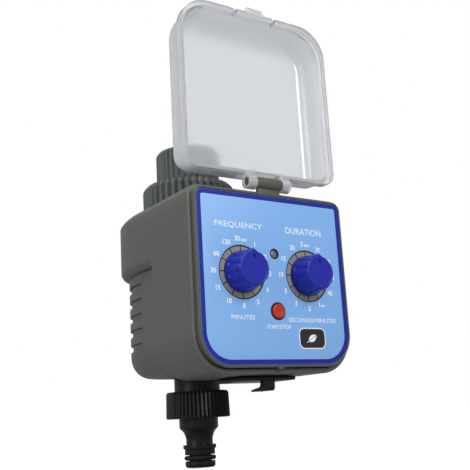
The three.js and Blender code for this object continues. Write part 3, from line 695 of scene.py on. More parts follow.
FINISHES = (
    Moulded("case grey", tint(88, 90, 86), roughness=0.44, pitch=0.5, bite=0.45, mottle=0.10),
    Moulded("bezel grey", tint(84, 85, 76), roughness=0.42, pitch=0.5, bite=0.4),
    Moulded("ring grey", tint(80, 85, 85), roughness=0.42, pitch=0.5, bite=0.4),
    # Well floor grey: lighter than the bezel's own grey, as painted light that lifts the shade in the dial
    # wells.
    Moulded("well grey painted lighter", tint(142, 140, 134), roughness=0.4, pitch=0.3, bite=0.25, dust=0.0),
    Moulded("black plastic", tint(15, 14, 13), roughness=0.3, pitch=0.5, bite=0.3, dust=0.03, gloss=0.32),
    Moulded("neck grey", tint(26, 25, 24), roughness=0.36, pitch=0.5, bite=0.3, dust=0.04, gloss=0.32),
    Moulded("rubber", tint(24, 24, 24), roughness=0.8, pitch=0.25, bite=0.4, dust=0.1, gloss=0.3),
    Moulded("label blue", tint(131, 183, 242), roughness=0.42, pitch=0.3, bite=0.08, mottle=0.03, dust=0.0),
    Moulded("border blue", tint(26, 34, 152), roughness=0.4, pitch=0.3, bite=0.08, mottle=0.04, dust=0.0,
            gloss=0.3),
    Moulded("knob blue", tint(24, 33, 163), roughness=0.3, pitch=0.4, bite=0.3, mottle=0.08, dust=0.01,
            gloss=0.4),
    Moulded("button red", tint(192, 42, 16), roughness=0.34, pitch=0.4, bite=0.2, dust=0.02),
    Moulded("white print", tint(245, 250, 255), roughness=0.5, pitch=0.3, bite=0.05, mottle=0.02, dust=0.0),
    # Black for the badge's print, and as painted shade on the ticks, the wells' edge rings and the ring
    # round the button.
    Moulded("black print and painted shade", tint(18, 18, 24), roughness=0.5, pitch=0.3, bite=0.05, mottle=0.02, dust=0.0),
    Moulded("white nylon", tint(226, 224, 214), roughness=0.45, pitch=0.6, bite=0.15, dust=0.0),
    Moulded("board green", tint(30, 92, 54), roughness=0.35, pitch=0.9, bite=0.2, dust=0.05),
    Moulded("cell sleeve", tint(60, 64, 70), roughness=0.25, pitch=1.2, bite=0.1, dust=0.0),
    Moulded("lead sleeve", tint(170, 30, 24), roughness=0.4, pitch=0.6, bite=0.15, dust=0.0),
    Metal("steel", tint(190, 192, 196), roughness=0.3),
    Metal("brass", tint(190, 152, 74), roughness=0.28),
    Clear("frosted clear", tint(238, 240, 244), roughness=0.14, clarity=0.64, varnish=0.6),
    Clear("lamp smoke", tint(112, 122, 142), roughness=0.2, clarity=0.1),
)


class Paints:
    """The finishes by name, each made once."""

    def __init__(self) -> None:
        """Makes every finish with one set of shared effects."""
        effects = Effects()
        self.made = {finish.name: finish.make(effects) for finish in FINISHES}

    def __getitem__(self, name: str) -> bpy.types.Material:
        """Returns one finish."""
        return self.made[name]


@dataclass
class Workshop:
    """What every sub-assembly needs to make its pieces."""

    place: CaseFrame
    paints: Paints
    rules: Rules


# ---------------------------------------------------------------- the case
@dataclass
class RearHousing:
    """The deep grey housing: a U in plan, stepped in low down at the back, with finger grooves round it."""

    shop: Workshop
    half: float = 45.8
    front: float = 3.0
    low: float = -4.2
    high: float = 84.5
    back: float = 60.0
    fullness: float = 2.3
    wall: float = 2.4
    lip: float = 0.8
    r_high: float = 4.6
    bevel: float = 1.25
    r_low: float = 18.1
    r_low_back: float = 8.5
    recess: float = 4.0
    recess_start: Point = (39.4, 44.6)
    ledge: Point = (52.0, 56.0)
    grooves: int = 5
    groove_top: float = 47.0
    groove_pitch: float = 7.6
    groove_tall: float = 3.6
    groove_deep: float = 1.15
    skirt: float = 12.0
    screws: tuple[Point, ...] = ((-37.5, 11), (37.5, 11), (-37.5, 75), (37.5, 75))
    boss: float = 3.2
    bore: float = 1.55
    column: float = 78.1
    outlet_bore: float = 12.7
    inlet_bore: float = 12.8
    tray: tuple[Point, Point, Point] = ((-12.6, 12.6), (14.0, 27.4), (-6.2, 53.0))

    def stations(self) -> list[Row]:
        """Returns (side, depth share, start y, turn in degrees) of each column, left to right."""
        lip = [self.front + self.lip * (1 - math.cos(math.radians(a))) for a in (0, 30, 60, 90)]
        near, far = self.recess_start
        step = [near + (far - near) * i / 8 for i in range(9)]
        straight = [*lip, 8, 14, 20, 26, 32, 37, *step, 48, 52, 56, 59.3, self.back]
        left = [(-1.0, 0.0, y, 0.0) for y in straight]
        rear = []
        for i in range(1, 60):
            angle = math.radians(3 * i)
            power = 2 / self.fullness
            side = math.copysign(abs(math.cos(angle)) ** power, -math.cos(angle))
            rear.append((side, math.sin(angle) ** power, self.back, min(3 * i, 180 - 3 * i)))
        right = [(1.0, 0.0, y, 0.0) for y in reversed(straight)]
        return left + rear + right

    def levels(self) -> list[tuple[str, float]]:
        """Returns the rows of the skin from the top centre line to the bottom one, as (zone, position)."""
        rows = [("top", i / 5) for i in range(5)]
        rows += [("corner", math.radians(10 * i)) for i in range(10)]
        rows += [("wall", z) for z in (74.0, 68.0, 62.0, 58.0)]
        low, high = self.ledge
        rows += [("wall", high - (high - low) * math.sin(math.radians(11.25 * i))) for i in range(9)]
        rows += [("wall", low - 0.25), ("wall", low - 1.0), ("wall", 49.0)]
        for i in range(self.grooves):
            top = self.groove_top - i * self.groove_pitch
            bottom = top - self.groove_tall
            heights = (top + 0.3, top + 0.12, top - 0.06, top - 0.35, (top + bottom) / 2,
                       bottom + 0.5, bottom + 0.25, bottom, bottom - 0.3)
            rows += [("wall", z) for z in heights]
        rows += [("skirt", i / 16) for i in range(17)]
        rows += [("bottom", i / 5) for i in range(1, 6)]
        return rows

    def groove(self, z: float) -> float:
        """Returns how deep the finger grooves are at a height."""
        for i in range(self.grooves):
            top = self.groove_top - i * self.groove_pitch
            bottom = top - self.groove_tall
            if bottom - 0.3 < z < top + 0.2:
                entry = 1 - ease(z, top - 0.06, top + 0.12)
                return self.groove_deep * entry * ease(z, bottom, bottom + 0.5)
        return 0.0

    def ledge_inset(self, z: float) -> float:
        """Returns how far the stepped-in part lies inside the upper part at a height, on a round ledge."""
        low, high = self.ledge
        if z >= high:
            return 0.0
        if z <= low:
            return self.recess
        sine = (high - z) / (high - low)
        return self.recess * (1 - math.sqrt(max(0.0, 1 - sine * sine)))

    def skin(self, depth: float) -> list[list[Vector]]:
        """Returns the columns of the outer form, or of the form that lies depth inside it."""
        columns = []
        for side, share, start, turn in self.stations():
            y = start if share == 0 else self.back + self.half
            stepped = ease(y, *self.recess_start)
            grooved = 0.0 if depth else ease(y, self.back - 0.7, self.back)
            radius = self.r_low - self.recess * stepped
            radius -= (radius - self.r_low_back) * ease(turn, 5, 50)
            off = self.front + self.lip - y
            lip = self.lip - math.sqrt(max(0.0, self.lip ** 2 - off ** 2)) if off > 0 and not depth else 0.0
            column = []
            for zone, at in self.levels():
                inset, z, across, up = self.profile(zone, at, stepped, radius)
                if zone == "wall":
                    inset += self.groove(z) * grooved
                inset += (depth + lip) * across
                z -= (depth + lip) * up
                reach = self.half - inset
                column.append(Vector((side * reach, start + share * reach, z)))
            columns.append(column)
        return columns

    def profile(self, zone: str, at: float, stepped: float, radius: float) -> Row:
        """Places one row of the skin.

        Args:
            zone: the part of the profile the row lies in.
            at: where in that zone.
            stepped: 0 on the full section and 1 on the stepped-in one.
            radius: of the lower corner here.

        Returns:
            The inset from the side, the height, and the outward direction across and up.
        """
        if zone == "top":
            return self.half - (self.half - self.r_high) * at, self.high, 0.0, 1.0
        if zone == "corner":
            across, up = math.sin(at), math.cos(at)
            power = 2 / self.bevel
            drop = self.r_high * (1 - up ** power)
            return self.r_high * (1 - across ** power), self.high - drop, across, up
        if zone == "wall":
            return stepped * self.ledge_inset(at), at, 1.0, 0.0
        floor = self.low + self.recess * stepped
        start = stepped * self.recess
        if zone == "bottom":
            inset = start + radius
            return inset + (self.half - inset) * at, floor, 0.0, -1.0
        height = (self.skirt - floor) * (1 - at) ** 2
        if height >= radius:
            return start, floor + height, 1.0, 0.0
        down = (radius - height) / radius
        across = math.sqrt(1 - down * down)
        return start + radius * (1 - across), floor + height, across, -down

    def shell(self) -> bmesh.types.BMesh:
        """Returns the closed shell, open at the front between its two skins."""
        bm = bmesh.new()
        outer = [[bm.verts.new(p) for p in column] for column in self.skin(0.0)]
        inner = [[bm.verts.new(p) for p in column] for column in self.skin(self.wall)]
        for columns in (outer, inner):
            for a, b in zip(columns, columns[1:]):
                for i in range(len(a) - 1):
                    bm.faces.new((a[i], b[i], b[i + 1], a[i + 1]))
        for a, b in ((outer[0], inner[0]), (outer[-1], inner[-1])):
            for i in range(len(a) - 1):
                bm.faces.new((a[i], b[i], b[i + 1], a[i + 1]))
        return tidy(bm)

    def battery_well(self) -> tuple[list[bmesh.types.BMesh], list[bmesh.types.BMesh]]:
        """Returns the walls round the battery tray and the hollows inside them."""
        (x0, x1), (y0, y1), (z0, top) = self.tray

        def box(grow: float, low: float, high: float, soft: float = 0.0) -> bmesh.types.BMesh:
            """Returns a block round the tray."""
            return cuboid((x0 - grow, x1 + grow), (y0 - grow, y1 + grow), (low, high), soft)

        walls = [box(3.0, self.low + 1, 2.0), box(1.8, self.low + 1, top + 1.4)]
        return walls, [box(0.4, z0, top, 0.3), box(1.8, z0, 0.6, 0.5)]

    def build(self) -> None:
        """Makes the housing with its bosses, wells and holes."""
        piece = solid("rear_housing_skin", self.shell())
        bosses, ribs, bores = [], [], []
        for x, z in self.screws:
            near, far = sorted((x, math.copysign(self.half - 1.4, x)))
            bosses.append(stand(rod((-24, -8.6), self.boss, 0.3, 32), Facing.FRONT, (x, 0, z)))
            ribs.append(cuboid((near, far), (8.6, 24), (z - 1.1, z + 1.1)))
            bores.append(stand(rod((-22, -7), self.bore, 0, 24), Facing.FRONT, (x, 0, z)))
        walls, hollows = self.battery_well()
        carve(piece, [blended(*ribs), blended(*bosses), *walls], Cut.JOIN)
        outlet = stand(rod((-12, 5), self.outlet_bore), Facing.UP, (0, self.column, 0))
        inlet = stand(rod((75, 95), self.inlet_bore), Facing.UP, (0, self.column, 0))
        carve(piece, [blended(*bores), blended(outlet, inlet), *hollows])
        self.shop.place.settle(piece, self.shop.paints["case grey"], Body.CASE, "case_grey",
                               ["rear_housing"], 28)


@dataclass
class Face:
    """The outline that the label, the bezel's rim and the lid's mouth all follow."""

    half: float = 42.7
    low: float = 0.0
    high: float = 81.6
    r_low: float = 15.0
    r_high: float = 3.5
    dial_x: float = 19.3
    dial_z: float = 43.0
    well: float = 13.0
    button_z: float = 25.0
    lamp_z: float = 52.9

    def ring(self, grow: float, y: float, steps: int = 14) -> list[Vector]:
        """Returns the outline grown on every side, at a depth."""
        outline = rounded_outline(self.half + grow, self.low - grow, self.high + grow,
                                  self.r_low + grow, max(self.r_high + grow, 0.6), steps)
        return [Vector((x, y, z)) for x, z in outline]

    def holes(self, radius: float, depth: Point, places: Sequence[Point],
              segments: int = 64) -> bmesh.types.BMesh:
        """Returns round cutters through the face at the given places."""
        y0, y1 = depth
        return blended(*[stand(rod((-y1, -y0), radius, 0, segments), Facing.FRONT, (x, 0, z))
                         for x, z in places])

    @property
    def dials(self) -> list[Point]:
        """Returns the centres of the two dials."""
        return [(-self.dial_x, self.dial_z), (self.dial_x, self.dial_z)]


@dataclass
class Hinge:
    """The pin that the lid turns on: a barrel and axle moulded with the bezel."""

    y: float = 2.04
    z: float = 88.55
    barrel: float = 3.05
    half_barrel: float = 7.4
    axle: float = 2.1
    half_axle: float = 12.1


@dataclass
class FrontBezel:
    """The grey frame behind the label, with the dial wells, the hinge barrel and the sealing tongue."""

    shop: Workshop
    face: Face = field(default_factory=Face)
    hinge: Hinge = field(default_factory=Hinge)
    screws: tuple[Point, ...] = RearHousing.screws
    screw_hole: float = 1.8
    shaft_hole: float = 2.8
    boss: float = 6.0
    boss_bore: float = 4.2
    button_hole: float = 4.3
    button_guide: float = 5.3
    lamp_hole: float = 2.5

    def body(self) -> bmesh.types.BMesh:
        """Returns the plate with its rolled rim and the tray that the label lies in."""
        section = ((0.3, 0.7), (0.3, -0.02), (0.36, -0.16), (0.52, -0.26), (0.75, -0.3), (0.98, -0.26),
                   (1.16, -0.14), (1.27, 0.04), (1.3, 0.3), (1.3, 2.7))
        return loft([self.face.ring(grow, y) for grow, y in section])

    def hinge_parts(self) -> list[bmesh.types.BMesh]:
        """Returns the pedestal, barrel, axle and the small nub under the rim."""
        hinge = self.hinge
        pedestal = cuboid((-6.7, 6.7), (1.0, 2.7), (self.face.high, hinge.z), 0.3)
        barrel = stand(rod((-hinge.half_barrel, hinge.half_barrel), hinge.barrel, 0.5), Facing.RIGHT,
                       (0, hinge.y, hinge.z))
        axle = stand(rod((-hinge.half_axle, hinge.half_axle), hinge.axle, 0.5), Facing.RIGHT,
                     (0, hinge.y, hinge.z))
        nub = cuboid((-1.6, 1.6), (0, 1.8), (-2.1, -1), 0.3)
        return [pedestal, barrel, axle, nub]

    def build(self) -> None:
        """Makes the bezel and paints the floors of its wells a lighter grey, painted light that lifts the
        shade inside them.
        """
        face = self.face
        piece = solid("front_bezel_skin", self.body())
        tongue = loft([face.ring(g, y) for g, y in ((-0.9, 2.4), (-0.9, 7), (-2.5, 7), (-2.5, 2.4))],
                      looped=True)
        bosses = face.holes(self.boss, (2.4, 4.2), face.dials)
        carve(piece, [tongue, bosses, *self.hinge_parts()], Cut.JOIN)
        button, lamp = [(0.0, face.button_z)], [(0.0, face.lamp_z)]
        carve(piece, [face.holes(face.well, (-1, 1.1), face.dials, 96),
                      face.holes(self.shaft_hole, (-1, 8), face.dials),
                      face.holes(self.boss_bore, (2.3, 8), face.dials),
                      face.holes(self.button_hole, (-1, 8), button),
                      face.holes(self.button_guide, (1.5, 8), button),
                      face.holes(self.lamp_hole, (-1, 8), lamp),
                      face.holes(self.screw_hole, (-1, 8), self.screws, 24)])
        mesh = piece.data
        mesh.materials.clear()
        # The well floors take the lighter grey: painted light against the shade inside each well.
        for name in ("bezel grey", "well grey painted lighter"):
            mesh.materials.append(self.shop.paints[name])
        for polygon in mesh.polygons:
            x, y, z = polygon.center
            apart = min(math.hypot(x - dx, z - dz) for dx, dz in face.dials)
            polygon.material_index = int(apart < face.well and 1.0 < y < 1.2)
        self.shop.place.settle(piece, None, Body.CASE, "case_grey", ["front_bezel"])
        self.gasket()

    def gasket(self) -> None:
        """Makes the ring seal round the tongue."""
        section = ((-0.6, 3.5), (-0.6, 5.1), (-0.3, 5.2), (0.2, 5.2), (0.4, 5.1), (0.4, 3.5), (0.2, 3.4),
                   (-0.3, 3.4))
        piece = solid("bezel_gasket_skin", loft([self.face.ring(g, y) for g, y in section], looped=True))
        self.shop.place.settle(piece, self.shop.paints["rubber"], Body.CASE, "rubber", ["bezel_gasket"])


@dataclass
class Caption:
    """One line of lettering on the label, fitted into a width and a height."""

    text: str
    span: Point
    rise: Point


def letters(text: str, proud: float, bold: float = 0.02) -> bmesh.types.BMesh:
    """Returns flat raised lettering facing forwards, its lower left corner at the origin and 1 high."""
    curve = bpy.data.curves.new("letters", "FONT")
    curve.body = text
    curve.extrude = 0.1
    curve.resolution_u = 3
    curve.offset = bold
    typed = bpy.data.objects.new("letters", curve)
    bpy.context.scene.collection.objects.link(typed)
    mesh = bpy.data.meshes.new_from_object(typed.evaluated_get(bpy.context.evaluated_depsgraph_get()))
    bm = bmesh.new()
    bm.from_mesh(mesh)
    bpy.data.objects.remove(typed)
    bpy.data.curves.remove(curve)
    bpy.data.meshes.remove(mesh)
    low = Vector([min(v.co[i] for v in bm.verts) for i in range(3)])
    high = Vector([max(v.co[i] for v in bm.verts) for i in range(3)])
    bm.transform(Matrix.Translation(-low))
    size = 1 / (high.y - low.y)
    bm.transform(Matrix.Diagonal((size, size, proud / (high.z - low.z), 1)))
    bm.transform(Facing.FRONT.value)
    return bm


@dataclass
class FaceLabel:
    """The printed label: a blue border, white captions, and the scales round both dials, whose dark ticks
    are painted shade.
    """

    shop: Workshop
    face: Face = field(default_factory=Face)
    thick: float = 0.5
    border: float = 2.3
    proud: float = 0.05
    figure_radius: float = 16.0
    figure_height: float = 2.5
    unit_height: float = 1.3
    badge_centre: Point = (19.7, 12.3)
    captions: tuple[Caption, ...] = (
        Caption("FREQUENCY", (-33.4, -6.4), (63.7, 67.0)),
        Caption("DURATION", (7.8, 30.0), (63.7, 66.9)),
        Caption("MINUTES", (-26.7, -13.7), (20.7, 22.8)),
        Caption("SECONDS/MINUTES", (5.9, 35.3), (20.0, 22.1)),
        Caption("START/STOP", (-7.0, 7.0), (16.6, 18.5)))
    frequency_scale: tuple[str, ...] = (
        "30 sec", "1", "2", "3", "4", "5", "8", "10", "15", "30", "60", "120")
    duration_scale: tuple[str, ...] = (
        "5 sec", "10", "20", "30", "45", "1 min", "2", "3", "5", "10", "15", "20")
    badge_half: float = 7.6
    badge_tall: float = 4.6
    badge_round: float = 2.6
    badge_margin: float = 0.5
    leaf_half: float = 2.9
    leaf_bulge: float = 1.5
    leaf_vein: float = 0.12
    leaf_steps: int = 10
    leaf_turn: float = -30.0
    mark_floor: float = 0.3
    tick_radius: float = 11.2
    tick: Corner = (0.5, 0.1, 2.4)
    small_rings: tuple[tuple[str, float], ...] = (("lamp", 2.02), ("button", 3.75))
    small_ring_wide: float = 0.6

    def build(self) -> None:
        """Makes the plate, the border, the lettering and the scale marks."""
        face, paints, place = self.face, self.shop.paints, self.shop.place
        section = ((0.0, self.thick), (0.0, 0.1), (-0.03, 0.03), (-0.1, 0.0))
        plate = solid("face_label_skin", loft([face.ring(g, y) for g, y in section]))
        carve(plate, [face.holes(face.well, (-1, 2), face.dials, 96),
                      face.holes(4.3, (-1, 2), [(0, face.button_z)]),
                      face.holes(2.3, (-1, 2), [(0, face.lamp_z)])])
        place.settle(plate, paints["label blue"], Body.CASE, "label_blue", ["face_label"])
        frame_ring = (
            (-0.12, 0.02), (-0.12, -self.proud), (-self.border, -self.proud), (-self.border, 0.02))
        border = solid("label_border", loft([face.ring(g, y) for g, y in frame_ring], looped=True))
        place.settle(border, paints["border blue"], Body.CASE, "label_blue")
        lettering = solid("label_lettering", self.lettering())
        place.settle(lettering, paints["white print"], Body.CASE, "label_blue")
        self.marks()
        self.badge()

    def lettering(self) -> bmesh.types.BMesh:
        """Returns every caption and scale figure as one raised mesh."""
        parts = []
        for caption in self.captions:
            bm = letters(caption.text, self.proud, 0.0)
            wide = max(v.co.x for v in bm.verts)
            (x0, x1), (z0, z1) = caption.span, caption.rise
            bm.transform(Matrix.Diagonal(((x1 - x0) / wide, 1, z1 - z0, 1)))
            bm.transform(Matrix.Translation((x0, 0, z0)))
            parts.append(bm)
        for (x, z), scale in zip(self.face.dials, (self.frequency_scale, self.duration_scale)):
            for i, figure in enumerate(scale):
                angle = math.radians(30 * i)
                bm = self.figure(figure)
                wide = max(v.co.x for v in bm.verts)
                across = x + self.figure_radius * math.sin(angle) - wide / 2
                up = z + self.figure_radius * math.cos(angle) - self.figure_height / 2
                bm.transform(Matrix.Translation((across, 0, up)))
                parts.append(bm)
        return blended(*parts)

    def figure(self, text: str) -> bmesh.types.BMesh:
        """Returns one figure of a scale, with its unit, if any, smaller beside it."""
        number, _, unit = text.partition(" ")
        bm = letters(number, self.proud)
        bm.transform(Matrix.Diagonal((self.figure_height * 0.95, 1, self.figure_height, 1)))
        if not unit:
            return bm
        small = letters(unit, self.proud)
        edge = max(v.co.x for v in bm.verts) + 0.5
        small.transform(Matrix.Diagonal((self.unit_height, 1, self.unit_height, 1)))
        small.transform(Matrix.Translation((edge, 0, 0)))
        return blended(bm, small)

    def badge(self) -> None:
        """Makes a plain dark plate with a white leaf in the lower right corner."""
        x, z = self.badge_centre
        plate, rim = (
            rounded_outline(self.badge_half + margin, -self.badge_tall - margin, self.badge_tall + margin,
                            self.badge_round + margin, self.badge_round + margin)
            for margin in (0.0, self.badge_margin))
        for name, bm, paint in (
                ("badge_plate", prism(plate, (-0.01, self.proud), Facing.FRONT, 0.02), "black print and painted shade"),
                ("badge_rim", prism(rim, (-0.01, self.proud / 2), Facing.FRONT), "white print"),
                ("badge_leaf", self.leaf((0.0, self.proud * 1.8)), "white print")):
            bm.transform(Matrix.Translation((x, 0, z)))
            self.shop.place.settle(solid(name, bm), self.shop.paints[paint], Body.CASE, "label_blue")

    def leaf(self, depth: Point) -> bmesh.types.BMesh:
        """Returns the leaf between two depths: two halves beside a vein, and a short stem."""
        half, vein, steps = self.leaf_half, self.leaf_vein, self.leaf_steps
        parts = []
        for side in (-1, 1):
            edge = [(-half, side * vein)]
            for i in range(1, steps):
                bulge = self.leaf_bulge * math.sin(math.pi * i / steps) ** 0.8
                edge.append((-half + 2 * half / steps * i, side * (vein + bulge)))
            edge.append((half, side * vein))
            parts.append(prism(edge, depth, Facing.FRONT))
        stem = prism([(-4.1, -0.2), (-2.8, -0.14), (-2.8, 0.14), (-4.1, 0.2)], depth, Facing.FRONT)
        emblem = blended(*parts, stem)
        emblem.transform(Matrix.Rotation(math.radians(self.leaf_turn), 4, "Y"))
        return emblem

    def marks(self) -> None:
        """Makes the ticks, the washer and the edge ring of each well, and the rings of lamp and button; the
        black of the ticks, the edge rings and the button's ring is painted shade, and the washer's lighter
        grey is painted light.
        """
        face, floor = self.face, self.mark_floor
        for name, (x, z) in zip(("frequency", "duration"), face.dials):
            # The ticks are dark bars that stand for the shade in the dial's tick grooves: painted shade.
            ticks = solid(f"{name}_ticks", bmesh.new())
            run_tree(ticks, self.shop.rules.ticks, Count=len(self.frequency_scale), Radius=self.tick_radius,
                     Size=self.tick, Centre=(x, floor, z), Finish=self.shop.paints["black print and painted shade"])
            self.shop.place.settle(ticks, None, Body.CASE, "case_grey")
            # The washer ring lays the same lighter grey over each well floor: painted light against the
            # recess's shade.
            washer = lathe([(9.95, -1.08), (12.97, -1.08), (12.97, -floor), (9.95, -floor)])
            # The edge ring is a black band round the rim of each well: painted shadow where the well's edge
            # shades its floor.
            edge = lathe([(12.35, -floor - 0.02), (12.98, -floor - 0.02), (12.98, 0.0), (12.75, 0.0),
                          (12.6, -floor + 0.06), (12.35, -floor + 0.06)])
            for kind, bm, paint in (("washer", washer, "well grey painted lighter"), ("well_ring", edge, "black print and painted shade")):
                ring = solid(f"{name}_{kind}", stand(bm, Facing.FRONT, (x, 0, z)))
                self.shop.place.settle(ring, self.shop.paints[paint], Body.CASE, "case_grey")
        # The button's ring is a black band filling the gap round the button, painted shade there; the
        # lamp's ring is its dark printed outline.
        for (name, radius), z in zip(self.small_rings, (face.lamp_z, face.button_z)):
            wide = radius + self.small_ring_wide
            edge = lathe([(radius, -0.6), (wide, -0.6), (wide, self.proud), (radius, self.proud)], 64)
            ring = solid(f"{name}_ring", stand(edge, Facing.FRONT, (0, 0, z)))
            self.shop.place.settle(ring, self.shop.paints["black print and painted shade"], Body.CASE, "label_blue")


def grip(piece: bpy.types.Object, rule: Callable[[Vector], float]) -> None:
    """Writes the grip attribute that the flutes follow, from 0 where the piece is smooth to 1."""
    layer = piece.data.attributes.new("grip", "FLOAT", "POINT")
    for i, vertex in enumerate(piece.data.vertices):
        layer.data[i].value = rule(vertex.co)


@dataclass
class Dial:
    """A fluted knob with a pointer, pressed on its shaft."""

    shop: Workshop
    name: str
    body: Body
    x: float
    z: float = 43.0
    skirt: float = 9.8
    face: float = 8.35
    proud: float = 10.7
    flutes: int = 12
    depth: float = 0.75
    peak: float = 1.1
    peak_half: float = 0.27

    def build(self) -> None:
        """Makes the knob upright, flutes it, notches its face and stands it in the panel."""
        top = self.proud

        def reach(r: float, h: float, angle: float) -> float:
            """Raises the pointer's ridge on the twelve o'clock side."""
            off = abs(math.atan2(math.sin(angle - math.pi / 2), math.cos(angle - math.pi / 2)))
            if r < 7.2 or h < 1.2 or off > self.peak_half:
                return r
            return r + self.peak * (1 - off / self.peak_half) * h / top

        profile = softened([(0, -0.7, 0), (self.skirt - 0.1, -0.7, 0.2), (self.skirt, 1.2, 0.5),
                            (9.45, 3.2, 0.8), (self.face, top - 0.75, 0.3), (7.75, top, 0.3),
                            (7.15, top, 0.1), (6.95, top - 0.12, 0.1), (4.0, top - 0.12, 0),
                            (0, top - 0.12, 0)], 5)
        piece = solid(f"{self.name}_knob_skin", lathe(profile, 288, reach))
        grip(piece, self.hold)
        run_tree(piece, self.shop.rules.flutes, Count=float(self.flutes), Depth=self.depth, Sharpness=4.0,
                 Turn=math.pi / 2 + math.pi / self.flutes, Finish=self.shop.paints["knob blue"])
        notch = prism([(-1.05, 5.0), (1.05, 5.0), (0, 6.75)], (top - 0.9, top + 1), Facing.UP)
        bore = rod((-2, 7), 2.8)
        carve(piece, [notch, bore])
        piece.data.transform(Matrix.Translation((self.x, 0, self.z)) @ Facing.FRONT.value)
        self.shop.place.settle(piece, self.shop.paints["knob blue"], self.body, "knob_blue",
                               [f"{self.name}_knob"])

    def hold(self, at: Vector) -> float:
        """Returns 1 on the fluted side of the knob and 0 on its skirt, face and pointer."""
        radius = math.hypot(at.x, at.y)
        off = abs(math.atan2(at.x, at.y))
        fading = 1 - 0.3 * ease(at.z, 6.0, self.proud)
        beside_peak = ease(off, self.peak_half - 0.04, self.peak_half + 0.04)
        return ease(at.z, 0.9, 3.0) * ease(radius, 7.7, 8.4) * beside_peak * fading


@dataclass
class Controls:
    """The start and stop button and the lamp's window."""

    shop: Workshop
    face: Face = field(default_factory=Face)

    def build(self) -> None:
        """Makes both pieces."""
        cap = softened([(0, -3.8, 0), (5.0, -3.8, 0.2), (5.0, -3.05, 0.2), (3.5, -3.05, 0),
                        (3.5, 0.75, 0.4), (3.0, 1.1, 0.35), (2.4, 1.1, 0.2), (2.1, 0.85, 0.2), (0, 0.8, 0)])
        upright = stand(lathe(cap, 64), Facing.FRONT, (0, 0, self.face.button_z))
        button = solid("start_stop_button_skin", upright)
        self.shop.place.settle(button, self.shop.paints["button red"], Body.BUTTON, "button_red",
                               ["start_stop_button"])
        dome = softened(
            [(0, -2.5, 0), (2.0, -2.5, 0.1), (2.0, -0.6, 0.3), (1.0, -0.22, 0.3), (0, -0.15, 0)])
        lens = solid("lamp_lens_skin", stand(lathe(dome, 48), Facing.FRONT, (0, 0, self.face.lamp_z)))
        self.shop.place.settle(lens, self.shop.paints["lamp smoke"], Body.CASE, "lamp_smoke", ["lamp_lens"])


